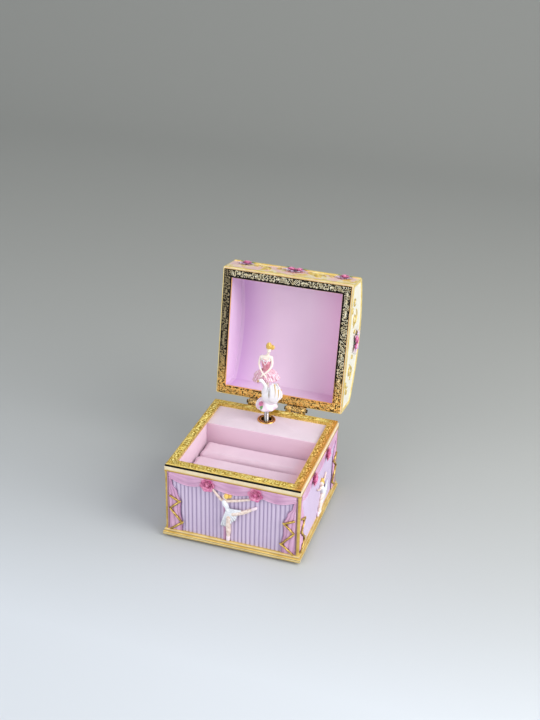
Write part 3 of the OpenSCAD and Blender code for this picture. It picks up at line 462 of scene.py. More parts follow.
# The bands are painted light and shade: a deeper purple towards the left, a lighter strip on the left end
# wall, a deeper pink towards the right.
LILAC = Finish("ruched_lilac_satin", "lilac_satin", (0.77, 0.59, 0.74), (0.85, 0.67, 0.81), roughness=0.6,
               drift=14, grain=2600, depth=0.04, specular=0.15,
               bands=(Band("X", -90.0, -16.0, (0.70, 0.46, 0.74), soft=26.0),
                      Band("X", -90.0, -41.6, (0.78, 0.58, 0.79), soft=0.4),
                      Band("X", 12.0, 80.0, (0.77, 0.50, 0.69), soft=26.0)))
# Dark brown for painted shade: the tube behind the gold cord.
SHADE_BROWN = Finish("painted_shade_brown", "resin_gold", (0.14, 0.07, 0.02), (0.26, 0.14, 0.04), roughness=0.45,
                drift=400)
FROCK = Finish("frock_enamel", "resin_white", (0.74, 0.76, 0.80), (0.98, 0.98, 1.0), roughness=0.34, coat=0.3,
               drift=700, grain=1100, depth=0.08, shade=(0.24, 0.25, 0.32))
# Beige for painted shade in the swan's crease.
CREASE_SHADE = Finish("painted_crease_shade", "resin_white", (0.34, 0.28, 0.22), (0.62, 0.56, 0.50), roughness=0.5,
                drift=600)
FELT = Finish("brown_felt", "felt", (0.10, 0.07, 0.06), (0.17, 0.13, 0.11), roughness=1.0, drift=200,
              grain=2400, depth=0.3, sheen=0.3)
BOARD = Finish("plain_board", "board", (0.42, 0.32, 0.22), (0.52, 0.42, 0.30), roughness=0.9, drift=120,
               grain=1800, depth=0.08)
STEEL = Finish("bright_steel", "steel", (0.60, 0.60, 0.61), (0.74, 0.74, 0.75), roughness=0.18, metallic=1.0,
               drift=200, grain=1400, depth=0.02)
BRASS = Finish("plain_brass", "brass", (0.68, 0.46, 0.16), (0.80, 0.58, 0.24), roughness=0.24,
               metallic=1.0, drift=200, grain=1500, depth=0.02)
ZINC = Finish("cast_zinc", "zinc", (0.26, 0.27, 0.28), (0.36, 0.37, 0.38), roughness=0.5, metallic=0.7,
              drift=180, grain=1200, depth=0.1)
BLACK_PLATE = Finish("black_paint", "black_plate", (0.02, 0.02, 0.022), (0.04, 0.04, 0.042), roughness=0.5,
                     drift=160, grain=1400, depth=0.05)
# Most of the plinth's bands are painted light and shade: a bright line on the top of the lower round, dark
# lines in the recesses between the steps and under the lower round.
PLINTH_GOLD = Finish("plinth_gold", "resin_gold", (0.62, 0.40, 0.08), (0.86, 0.63, 0.22), roughness=0.28,
                     metallic=0.35, drift=120, grain=700, depth=0.05, coat=0.4,
                     bands=(Band("Z", 6.0, 6.6, (0.82, 0.64, 0.44), soft=0.1),
                            Band("Z", 3.95, 4.45, (0.22, 0.12, 0.02), soft=0.12),
                            Band("Z", 3.2, 3.95, (0.96, 0.80, 0.44), soft=0.2),
                            Band("Z", 5.3, 5.75, (0.34, 0.20, 0.04), soft=0.15),
                            Band("Z", 1.0, 1.9, (0.30, 0.18, 0.03), 0.3, 0.3)))
GOLD_CORD = Finish("gold_cord", "resin_gold", (0.36, 0.20, 0.02), (0.86, 0.60, 0.14), roughness=0.24,
                   metallic=0.5, drift=700, coat=0.4)
LID_GOLD = Finish("lid_gold", "resin_gold", (0.80, 0.58, 0.14), (0.93, 0.76, 0.32), roughness=0.32,
                  metallic=0.3, drift=150, grain=800, depth=0.05)
# The band along X is painted shade: the frame's right arm a darker orange.
BASE_FRAME = Finish("base_frame_gilt", "gilt_brass", (0.84, 0.58, 0.12), (0.96, 0.74, 0.24), roughness=0.28,
                    metallic=0.4, drift=300, grain=1500, depth=0.03,
                    bands=(Band("X", 43.0, 60.0, (0.70, 0.30, 0.05), 0.3, 5.0),
                           Band("Reach", 43.0, 49.75, (0.46, 0.28, 0.03), curls=620.0),
                           Band("Z", 61.9, 62.08, (0.44, 0.27, 0.02), 0.3)))
# The black band is the frame's own black ground; the orange-gold over the rear rail is painted reflection.
LID_FRAME = Finish("lid_frame_gilt", "gilt_brass", (0.76, 0.44, 0.14), (0.88, 0.56, 0.22), roughness=0.4,
                   metallic=0.4, drift=140, grain=1500, depth=0.03, specular=0.12, on_lid=True,
                   bands=(Band("Reach", 43.56, 49.88, (0.008, 0.006, 0.005)),
                          Band("Y", 22.0, 90.0, (0.92, 0.50, 0.12), 0.3, 22.0, 460.0)))
SHOE = Finish("shoe_enamel", "resin_pink", (0.90, 0.70, 0.76), (0.95, 0.82, 0.86), roughness=0.32, coat=0.3,
              drift=300)
SKIN_PALE = Finish("pale_skin_enamel", "resin_skin", (0.90, 0.78, 0.66), (0.95, 0.86, 0.77), roughness=0.4,
                   coat=0.2, drift=300, shade=(0.66, 0.46, 0.36))
PALE_LILAC = Finish("pale_lilac_enamel", "resin_lilac", (0.72, 0.52, 0.74), (0.85, 0.66, 0.80),
                    roughness=0.38, coat=0.25, drift=160, shade=(0.60, 0.40, 0.64))
EYELET_BRASS = Finish("eyelet_brass", "brass", (0.66, 0.36, 0.09), (0.82, 0.50, 0.16), roughness=0.2,
                      metallic=1.0, drift=260, grain=1500, depth=0.02)
DARK_BRASS = Finish("dark_brass", "gilt_brass", (0.05, 0.03, 0.01), (0.16, 0.10, 0.03), roughness=0.4,
                    metallic=0.9, drift=600, grain=1500, depth=0.04)
HINGE_BRASS = Finish("hinge_brass", "gilt_brass", (0.80, 0.44, 0.09), (1.0, 0.72, 0.28), roughness=0.3,
                     metallic=0.15, drift=480, grain=1500, depth=0.05, specular=0.3,
                     bands=(Band("X", -40.0, 40.0, (0.02, 0.012, 0.005), curls=430.0),))
HINGE_GILT = Finish("hinge_gilt", "gilt_brass", (0.90, 0.52, 0.12), (1.0, 0.80, 0.36), roughness=0.26,
                    metallic=0.15, drift=500)
BLUE_STEEL = Finish("blue_steel", "steel", (0.10, 0.13, 0.22), (0.16, 0.20, 0.32), roughness=0.25,
                    metallic=1.0, drift=200, grain=1400, depth=0.02)
# The floor's shade colour is painted shade, mixed in more towards the back.
FLOOR = Finish("studio_paper", "", (0.64, 0.67, 0.70), (0.66, 0.69, 0.72), roughness=0.85, drift=1.2,
               grain=300, depth=0.02, shade=(0.37, 0.37, 0.34))


# ---------------------------------------------------------------------------------------------
# Shaping


class Workshop:
    """Mesh operations that the classes share. Everything here is in millimetres."""

    @staticmethod
    def piece(name: str, bm: Mesh, finish: Finish, smooth: bool = True,
              outward: bool = True) -> Piece:
        """Turns a drawn mesh into a scene object in metres, with its finish.

        Args:
            name: the piece's name.
            bm: the mesh, in millimetres; it is used up.
            finish: what it is finished in.
            smooth: whether faces are shaded smooth.
            outward: whether the faces are turned outwards first.

        Returns:
            The object, at the origin, with its place in its mesh.
        """
        if outward:
            bmesh.ops.recalc_face_normals(bm, faces=bm.faces[:])
        bmesh.ops.scale(bm, vec=(MM, MM, MM), verts=bm.verts[:])
        mesh = bpy.data.meshes.new(name)
        bm.to_mesh(mesh)
        bm.free()
        mesh.shade_smooth() if smooth else mesh.shade_flat()
        mesh.materials.append(finish.build())
        made = bpy.data.objects.new(name, mesh)
        bpy.context.scene.collection.objects.link(made)
        return made

    @staticmethod
    def settle(piece: Piece) -> Piece:
        """Applies a piece's modifiers to its mesh.

        Args:
            piece: the piece.

        Returns:
            The same piece.
        """
        graph = bpy.context.evaluated_depsgraph_get()
        graph.update()
        mesh = bpy.data.meshes.new_from_object(piece.evaluated_get(graph), depsgraph=graph)
        piece.modifiers.clear()
        old, piece.data = piece.data, mesh
        bpy.data.meshes.remove(old)
        piece.data.name = piece.name
        return piece

    @classmethod
    def fuse(cls, piece: Piece, voxel: float, smooth: int = 6) -> Piece:
        """Melts a piece's overlapping forms into one skin.

        Args:
            piece: the piece, its forms overlapping.
            voxel: size of the remesh's cells.
            smooth: rounds of smoothing after it.

        Returns:
            The piece, with one closed smooth mesh.
        """
        remesh = piece.modifiers.new("melt", "REMESH")
        remesh.mode, remesh.voxel_size, remesh.use_smooth_shade = "VOXEL", voxel * MM, True
        soften = piece.modifiers.new("soften", "SMOOTH")
        soften.factor, soften.iterations = 0.5, smooth
        return cls.settle(piece)

    @staticmethod
    def along(path: Sequence[Vector]) -> list[Matrix]:
        """Works out frames along a path that don't twist: Z runs along it.

        Args:
            path: the points of the path.

        Returns:
            A frame for each point.
        """
        last = len(path) - 1
        tangents = [(path[min(i + 1, last)] - path[max(i - 1, 0)]).normalized() for i in range(last + 1)]
        turn = Vector((0, 0, 1)).rotation_difference(tangents[0])
        frames = []
        for i, point in enumerate(path):
            if i:
                turn = tangents[i - 1].rotation_difference(tangents[i]) @ turn
            frames.append(moved(point) @ turn.to_matrix().to_4x4())
        return frames

    @classmethod
    def tube(cls, bm: Mesh, path: Iterable[Point], radii: Sequence[float], sides: int = 10,
             flat: float = 1.0) -> list[Vert]:
        """Draws a tapered tube by pulling one ring of points along a path.

        Args:
            bm: the mesh to draw in.
            path: the points that it follows.
            radii: its radius at each point.
            sides: points in the ring.
            flat: how far the ring is squeezed across, 1 being round.

        Returns:
            The tube's vertices.
        """
        points = [Vector(p) for p in path]
        frames = cls.along(points)
        own = bmesh.new()

        def placed(i: int) -> Matrix:
            """The ring's place and size at point i."""
            return frames[i] @ scaled(radii[i], radii[i] * flat, radii[i])

        ring = bmesh.ops.create_circle(own, cap_ends=False, segments=sides, radius=1.0,
                                       matrix=placed(0))["verts"]
        edges = own.edges[:]
        bmesh.ops.edgeloop_fill(own, edges=edges)
        for i in range(1, len(points)):
            grown = bmesh.ops.extrude_edge_only(own, edges=edges)["geom"]
            ring = [g for g in grown if isinstance(g, Vert)]
            fresh = set(ring)
            edges = [g for g in grown if isinstance(g, bmesh.types.BMEdge) and set(g.verts) <= fresh]
            bmesh.ops.transform(own, matrix=placed(i) @ placed(i - 1).inverted(), verts=ring)
        bmesh.ops.edgeloop_fill(own, edges=edges)
        return cls.merge(bm, own)

    @classmethod
    def limb(cls, bm: Mesh, *stations: tuple[Point, float], sides: int = 12) -> None:
        """Draws a rounded limb.

        Args:
            bm: the mesh to draw in.
            stations: point and radius of each station.
            sides: points round the limb.
        """
        points = [Vector(p) for p, _ in stations]
        radii = [r for _, r in stations]
        first, last = (points[0] - points[1]).normalized(), (points[-1] - points[-2]).normalized()
        path = [points[0] + first * radii[0] * 0.9, points[0] + first * radii[0] * 0.55, *points,
                points[-1] + last * radii[-1] * 0.55, points[-1] + last * radii[-1] * 0.9]
        cls.tube(bm, path, [radii[0] * 0.35, radii[0] * 0.8, *radii, radii[-1] * 0.8, radii[-1] * 0.35],
                 sides)

    @classmethod
    def limbs(cls, bm: Mesh, at: Callable[[float, float, float], Vector], *rows: Sequence[Sequence[float]],
              sides: int = 12) -> None:
        """Draws limbs from rows of stations.

        Args:
            bm: the mesh to draw in.
            at: places a station's first three numbers.
            rows: a row for each limb, a station being three numbers and a radius.
            sides: points round a limb.
        """
        for row in rows:
            cls.limb(bm, *[(at(x, y, z), r) for x, y, z, r in row], sides=sides)

    @staticmethod
    def ball(bm: Mesh, centre: Point, radii: Point, turn: Matrix | None = None,
             segments: int = 20) -> list[Vert]:
        """Draws an egg of three radii.

        Args:
            bm: the mesh to draw in.
            centre: its middle.
            radii: its three radii.
            turn: its turn, if it has one.
            segments: faces round it.

        Returns:
            Its vertices.
        """
        place = moved(centre) @ (turn or Matrix.Identity(4)) @ scaled(*radii)
        return bmesh.ops.create_uvsphere(bm, u_segments=segments, v_segments=segments // 2 + 2, radius=1.0,
                                         matrix=place)["verts"]

    @staticmethod
    def block(middle: Point, size: Point, offset: float, segments: int) -> Mesh:
        """Draws a block with rounded edges.

        Args:
            middle: its middle.
            size: its three lengths.
            offset: how far each edge is rounded.
            segments: faces across the rounding.

        Returns:
            The mesh that it is drawn in.
        """
        bm = bmesh.new()
        bmesh.ops.create_cube(bm, size=1.0, matrix=moved(middle) @ scaled(*size))
        bmesh.ops.bevel(bm, geom=bm.edges[:], offset=offset, affect="EDGES", segments=segments, profile=0.5,
                        material=-1)
        return bm

    @staticmethod
    def lathe(bm: Mesh, outline: Sequence[Pair], centre: Point = (0, 0, 0),
              steps: int = 48) -> None:
        """Turns an outline of radius and height about an upright axis.

        Args:
            bm: the mesh to draw in.
            outline: points of radius and height.
            centre: the foot of the axis.
            steps: points round the axis.
        """
        base = Vector(centre)
        drawn = [bm.verts.new(base + Vector((r, 0, z))) for r, z in outline]
        lines = [bm.edges.new(pair) for pair in zip(drawn, drawn[1:])]
        bmesh.ops.spin(bm, geom=drawn + lines, cent=base, axis=(0, 0, 1), angle=math.tau, steps=steps,
                       use_merge=True, use_duplicate=False)
        bmesh.ops.remove_doubles(bm, verts=bm.verts[:], dist=WELD)

    @staticmethod
    def sheet(bm: Mesh, across: int, down: int, shape: Callable[[float, float], Point],
              depth: Callable[[float, float], float] | None = None, thick: float = 0.0) -> None:
        """Draws a surface from a grid whose points a function places.

        Args:
            bm: the mesh to draw in.
            across: faces across.
            down: faces down.
            shape: the place of a point, from its share across and down.
            depth: how deep in a fold a point lies, from 0 to 1, which the finish paints as shade.
            thick: thickness given to the surface, away from its face.
        """
        layer = bm.verts.layers.float.get("fold") or bm.verts.layers.float.new("fold")
        grid = bmesh.ops.create_grid(bm, x_segments=across, y_segments=down, size=0.5)["verts"]
        for v in grid:
            u, w = v.co.x + 0.5, v.co.y + 0.5
            v.co = shape(u, w)
            v[layer] = depth(u, w) if depth else 0.0
        if thick:
            faces = list({f for v in grid for f in v.link_faces})
            bmesh.ops.solidify(bm, geom=faces, thickness=thick)

    @classmethod
    def petal(cls, bm: Mesh, place: Matrix, length: float, width: float, cup: float,
              curl: float = 0.25) -> None:
        """Draws a cupped petal that stands on its foot and curls back at its lip.

        Args:
            bm: the mesh to draw in.
            place: foot and direction: X across, Z along, Y outwards.
            length: foot to lip.
            width: greatest width.
            cup: how deeply it is hollowed.
            curl: how far the lip curls back.
        """

        def shape(u: float, w: float) -> Vector:
            """A point of the petal, from its share across and along."""
            a = (u - 0.5) * 2
            spread = width / 2 * math.sin(math.pi * (0.12 + 0.76 * w)) ** 0.7
            bow = cup * (1 - a * a) * math.sin(math.pi * w * 0.9) + curl * length * max(0.0, w - 0.6) ** 2 * 4
            return place @ Vector((a * spread, bow, w * length * (1 - 0.12 * a * a)))

        # Painted shade, deepest towards the petal's foot.
        cls.sheet(bm, 4, 4, shape, lambda u, w: max(0.0, 0.8 - w * 1.3), thick=0.08)

    @classmethod
    def rose(cls, bm: Mesh, place: Matrix, radius: float, height: float) -> None:
        """Draws a full rose, seen face on: a bud with rings of overlapping petals.

        Args:
            bm: the mesh to draw in.
            place: its middle and direction: Z is the way that it faces.
            radius: its radius.
            height: its height.
        """
        for count, reach, lean, start in ((6, 1.0, 66, 0), (5, 0.74, 50, 25), (4, 0.5, 32, 60),
                                          (3, 0.3, 12, 10)):
            for i in range(count):
                angle = math.radians(start + 360 * i / count)
                foot = Matrix.Rotation(angle, 4, "Z") @ moved(0, -radius * reach * 0.30, height * 0.1)
                tip = turned(lean, "X")
                flip = Matrix.Rotation(math.pi, 4, "Z")
                cls.petal(bm, place @ foot @ tip @ flip, radius * (0.42 + 0.46 * reach),
                          radius * (0.5 + 0.7 * reach), radius * 0.16)
        core = [(0.01, height), (radius * 0.16, height * 0.96), (radius * 0.22, height * 0.6),
                (radius * 0.5, height * 0.2), (radius * 0.72, 0.0)]
        cup = bmesh.new()
        cls.lathe(cup, core, steps=14)
        bmesh.ops.transform(cup, matrix=place, verts=cup.verts[:])
        cls.merge(bm, cup)

    @staticmethod
    def merge(bm: Mesh, other: Mesh,
              places: Sequence[Matrix] = (Matrix.Identity(4),)) -> list[Vert]:
        """Adds another drawn mesh to this one, once at each place, and uses it up.

        Args:
            bm: the mesh that grows.
            other: the mesh that is added.
            places: where its copies go.

        Returns:
            The vertices that were added.
        """
        before = len(bm.verts)
        drawn = bpy.data.meshes.new("part")
        other.to_mesh(drawn)
        other.free()
        for place in places:
            placed = drawn.copy()
            placed.transform(place)
            bm.from_mesh(placed)
            bpy.data.meshes.remove(placed)
        bpy.data.meshes.remove(drawn)
        bm.verts.ensure_lookup_table()
        return bm.verts[before:]

    @classmethod
    def scroll(cls, bm: Mesh, place: Matrix, size: float, wire: float, turns: float, hand: int, steps: int,
               sides: int) -> None:
        """Draws a tapering C-scroll that curls in on itself, flat in the place's XY plane.

        Args:
            bm: the mesh to draw in.
            place: the curl's middle; X points to where the scroll starts.
            size: radius at the start.
            wire: radius of the drawn line at its thickest.
            turns: turns that it makes.
            hand: 1 to curl anticlockwise, -1 clockwise.
            steps: points along it.
            sides: points round it.
        """
        path, radii = [], []
        for i in range(steps + 1):
            t = i / steps
            r = size * (1 - 0.78 * t ** 0.8)
            a = hand * math.tau * turns * t
            path.append(place @ Vector((r * math.cos(a), r * math.sin(a), 0)))
            swell = math.sin(math.pi * min(1.0, t * 1.15 + 0.08))
            radii.append(wire * (0.45 + 0.55 * swell + 0.35 * (t > 0.96)))
        cls.tube(bm, path, radii, sides)

    @classmethod
    def copy_of(cls, node: str, name: str, finish: Finish, width: float, segments: int = 3) -> Piece:
        """Copies a CAD node with its hard edges rounded, to stand in its place.

        Args:
            node: the CAD node.
            name: the new piece's name.
            finish: what it is finished in.
            width: how far each edge is rounded.
            segments: faces across the rounding.

        Returns:
            The piece, which replaces the node.
        """
        bm = bmesh.new()
        bm.from_mesh(frame["nodes"][node].data)
        bmesh.ops.scale(bm, vec=(1 / MM,) * 3, verts=bm.verts[:])
        bmesh.ops.remove_doubles(bm, verts=bm.verts[:], dist=0.002)
        bmesh.ops.dissolve_limit(bm, angle_limit=math.radians(1.5), verts=bm.verts[:], edges=bm.edges[:])
        sharp = [e for e in bm.edges
                 if len(e.link_faces) == 2 and e.calc_face_angle(0.0) > math.radians(SHARP_DEGREES)]
        bmesh.ops.bevel(bm, geom=sharp, offset=width, affect="EDGES", segments=segments, profile=0.5,
                        material=-1, clamp_overlap=True)
        made = cls.piece(name, bm, finish, outward=False)
        made.data.set_sharp_from_angle(angle=math.radians(40))
        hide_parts(node)
        return made


# ---------------------------------------------------------------------------------------------
# Places that the pieces share


LID_HINGE = next(j for j in frame["joints"] if j["name"] == "lid_hinge")


def opened_about() -> Vector:
    """A point of the lid's hinge axis, in millimetres."""
    return Vector(LID_HINGE["pos_m"]) / MM


def opened() -> Matrix:
    """Swings what is drawn on the shut lid back to where it rests open, in millimetres."""
    pin = moved(opened_about())
    return pin @ turned(-LID_HINGE["range_deg"][1], "X") @ pin.inverted()


def dress(finish: Finish, *nodes: str) -> None:
    """Gives CAD nodes their finish.

    Args:
        finish: the finish.
        nodes: the nodes' names.
    """
    for node in nodes:
        part = frame["nodes"][node]
        if part.material_slots:
            for place in part.material_slots:
                place.material = finish.build()
        else:
            part.data.materials.append(finish.build())
        log.info("node %s is finished in %s", node, finish.name)


def corners(node: str) -> tuple[Vector, Vector]:
    """Lowest and highest corner of a CAD node, in millimetres."""
    low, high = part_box(node)
    return Vector(low) / MM, Vector(high) / MM


def seat(piece: Piece, body: str, *nodes: str) -> Piece:
    """Lets a piece ride on a body, in place of CAD nodes if any are named.

    Args:
        piece: the piece.
        body: the CAD body that carries it.
        nodes: the nodes that it stands for.

    Returns:
        The piece.
    """
    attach(piece, body)
    if nodes:
        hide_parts(*nodes)
    log.info("piece %s rides on %s with %d faces", piece.name, body, len(piece.data.polygons))
    return piece


def lay(name: str, bm: Mesh, finish: Finish, body: str, *nodes: str) -> Piece:
    """Makes a piece of a drawn mesh and seats it: see Workshop.piece and seat."""
    return seat(Workshop.piece(name, bm, finish), body, *nodes)


# ---------------------------------------------------------------------------------------------
# Studio


@dataclass
class Studio:
    """The camera, the floor that runs up behind the box, and the lights."""

    eye: Point = (209.7, -639.3, 477.4)
    gaze: Point = (-0.2649, 0.8481, -0.4589)
    roll: float = 1.495
    lens: float = 53.53
    floor_half: float = 2600.0
    floor_front: float = -1800.0
    floor_back: float = 900.0
    bend: float = 700.0
    wall: float = 1500.0
    painted_falloff_from: float = -160.0
    painted_falloff_run: float = 190.0
    key: tuple[Point, float, float] = ((700.0, -200.0, 720.0), 560.0, 5.0)
    side: tuple[Point, float, float] = ((1000.0, -60.0, 230.0), 620.0, 5.2)
    fill: tuple[Point, float, float] = ((-620.0, -1000.0, 620.0), 1100.0, 5.6)
    top: tuple[Point, float, float] = ((-60.0, 160.0, 1250.0), 1100.0, 0.8)
    sky: Rgb = (0.80, 0.84, 0.90)
    sky_strength: float = 0.76

    def build(self) -> None:
        """Puts up the camera, the floor, the lights and the pale surroundings."""
        self.camera()
        self.floor()
        for name, (place, size, power) in (("key_light", self.key), ("side_light", self.side),
                                           ("fill_light", self.fill), ("top_light", self.top)):
            self.light(name, place, size, power)
        world = bpy.data.worlds.new("studio_air")
        world.use_nodes = True
        air = world.node_tree.nodes["Background"]
        air.inputs["Color"].default_value = (*self.sky, 1)
        air.inputs["Strength"].default_value = self.sky_strength
        bpy.context.scene.world = world
        bpy.context.scene.view_settings.view_transform = "Standard"

    def camera(self) -> None:
        """Sets the camera at its measured place, with its slight roll."""
        gaze = Vector(self.gaze).normalized()
        right = gaze.cross(Vector((0, 0, 1))).normalized()
        up = right.cross(gaze)
        a = math.radians(self.roll)
        turned, raised = right * math.cos(a) + up * math.sin(a), up * math.cos(a) - right * math.sin(a)
        data = bpy.data.cameras.new("camera")
        data.lens, data.clip_start, data.clip_end = self.lens, 0.01, 20.0
        made = bpy.data.objects.new("camera", data)
        bpy.context.scene.collection.objects.link(made)
        turn = Matrix((turned, raised, -gaze)).transposed().to_4x4()
        made.matrix_world = moved(Vector(self.eye) * MM) @ turn
        bpy.context.scene.camera = made

    def floor(self) -> None:
        """Lays a plain sheet that bends up into a wall far behind the box, darkened from the front backwards
        by painted shade.
        """
        bm = bmesh.new()
        flat = self.floor_back - self.floor_front
        arc = self.bend * math.pi / 2
        whole = flat + arc + self.wall

        def shape(u: float, w: float) -> Point:
            """A point of the sheet: flat, then a quarter round, then upright."""
            run = w * whole
            x = (u - 0.5) * 2 * self.floor_half
            if run < flat:
                return (x, self.floor_front + run, 0.0)
            if run < flat + arc:
                a = (run - flat) / self.bend
                return (x, self.floor_back + self.bend * math.sin(a), self.bend * (1 - math.cos(a)))
            return (x, self.floor_back + self.bend, self.bend + run - flat - arc)

        def painted_falloff(u: float, w: float) -> float:
            """How far painted shade darkens the sheet, from the front backwards."""
            return 1.0 - math.exp(-max(0.0, w * whole + self.floor_front - self.painted_falloff_from) / self.painted_falloff_run)

        Workshop.sheet(bm, 8, 120, shape, painted_falloff)
        Workshop.piece("studio_floor", bm, FLOOR)

    @staticmethod
    def light(name: str, place: Point, size: float, power: float) -> None:
        """Hangs a soft square light that faces the box.

        Args:
            name: its name.
            place: where it hangs.
            size: length of its sides.
            power: its power, in watts.
        """
        data = bpy.data.lights.new(name, "AREA")
        data.shape, data.size, data.energy = "SQUARE", size * MM, power
        made = bpy.data.objects.new(name, data)
        bpy.context.scene.collection.objects.link(made)
        made.location = Vector(place) * MM
        made.rotation_euler = (Vector((0, 20, 60)) - Vector(place)).to_track_quat("-Z", "Y").to_euler()


# ---------------------------------------------------------------------------------------------
# Case


@dataclass
class Case:
    """The cast body with its plinth, gilt edges, felt and bottom plate."""

    shadow_strip_half: float = 50.3
    shadow_strip_y: Pair = (-50.6, -49.98)
    shadow_strip_z: Pair = (60.3, 61.7)

    def build(self) -> None:
        """Finishes the case's nodes and adds a black strip under the front of the frame as painted shadow in
        the gap there.
        """
        dress(CASE_ENAMEL, "box_body")
        dress(PLINTH_GOLD, "plinth")
        dress(GOLD_PAINT, "corner_beads")
        dress(BLACK_PLATE, "bottom_plate")
        dress(STEEL, "plate_screws")
        seat(Workshop.copy_of("felt_ring", "felt_foot", FELT, 0.5), "box")
        # A black strip along the front under the frame's edge: painted shadow in the gap there.
        (y0, y1), (z0, z1) = self.shadow_strip_y, self.shadow_strip_z
        bm = Workshop.block((0, (y0 + y1) / 2, (z0 + z1) / 2), (2 * self.shadow_strip_half, y1 - y0, z1 - z0),
                            0.12, 2)
        lay("front_painted_shadow", bm, PAINTED_SHADE_BLACK, "box")


@dataclass(frozen=True)
class DancePose:
    """A relief dancer's joints, as places across and up the panel with their radii."""

    stand: tuple[Point, ...]
    lifted: tuple[Point, ...]
    torso: tuple[Point, ...]
    head: Point
    bun: Point
    arms: tuple[tuple[Point, ...], ...]
    waist: Pair
    fan: tuple[Pair, ...]


ARABESQUE = DancePose(
    stand=((-1.6, 28.5, 2.3), (-2.2, 20.0, 1.9), (-1.9, 16.0, 1.85), (-2.1, 11.4, 1.2), (-2.3, 8.4, 1.2)),
    lifted=((1.6, 32.0, 2.0), (9.0, 34.6, 1.6), (12.4, 36.6, 1.45), (16.0, 38.8, 1.0), (18.5, 40.5, 0.75)),
    torso=((-2.6, 34.2, 1.75), (-3.3, 36.6, 1.6), (-4.6, 39.2, 2.2), (-5.2, 40.6, 2.0)),
    head=(-4.3, 45.1, 2.35), bun=(-1.2, 46.0, 1.6),
    arms=(((-7.2, 41.5, 1.15), (-10.6, 45.0, 0.95), (-13.6, 48.5, 0.8), (-14.3, 49.3, 0.85)),
          ((-3.0, 41.6, 1.15), (4.4, 43.4, 1.0), (11.8, 45.9, 0.85), (13.6, 46.5, 1.05))),
    waist=(-3.2, 36.4), fan=((-107, 15.6), (-92, 16.6), (-71, 12.4), (-38, 9.6), (3, 10.6)))
CURTSY = DancePose(
    stand=((8.4, 21.5, 1.8), (5.6, 17.6, 1.4), (3.6, 14.4, 1.3), (0.8, 10.2, 0.8), (-0.7, 8.5, 0.65)),
    lifted=((10.6, 20.5, 1.8), (9.6, 15.6, 1.35), (7.4, 12.8, 1.2), (4.6, 9.8, 0.8), (3.0, 8.6, 0.6)),
    torso=((9.4, 23.4, 1.75), (8.6, 25.6, 1.6), (7.4, 28.2, 2.1), (6.6, 29.4, 1.9)),
    head=(5.2, 33.4, 2.3), bun=(7.6, 35.2, 1.5),
    arms=(((4.8, 30.2, 1.0), (0.4, 30.6, 0.8), (-4.0, 33.4, 0.65), (-5.0, 34.2, 0.7)),
          ((8.4, 30.2, 1.0), (12.6, 31.6, 0.8), (16.6, 34.6, 0.65), (17.6, 35.4, 0.7))),
    waist=(9.0, 25.2), fan=((-112, 9.5), (-80, 11.0), (-45, 12.0), (-10, 12.0), (24, 10.5)))


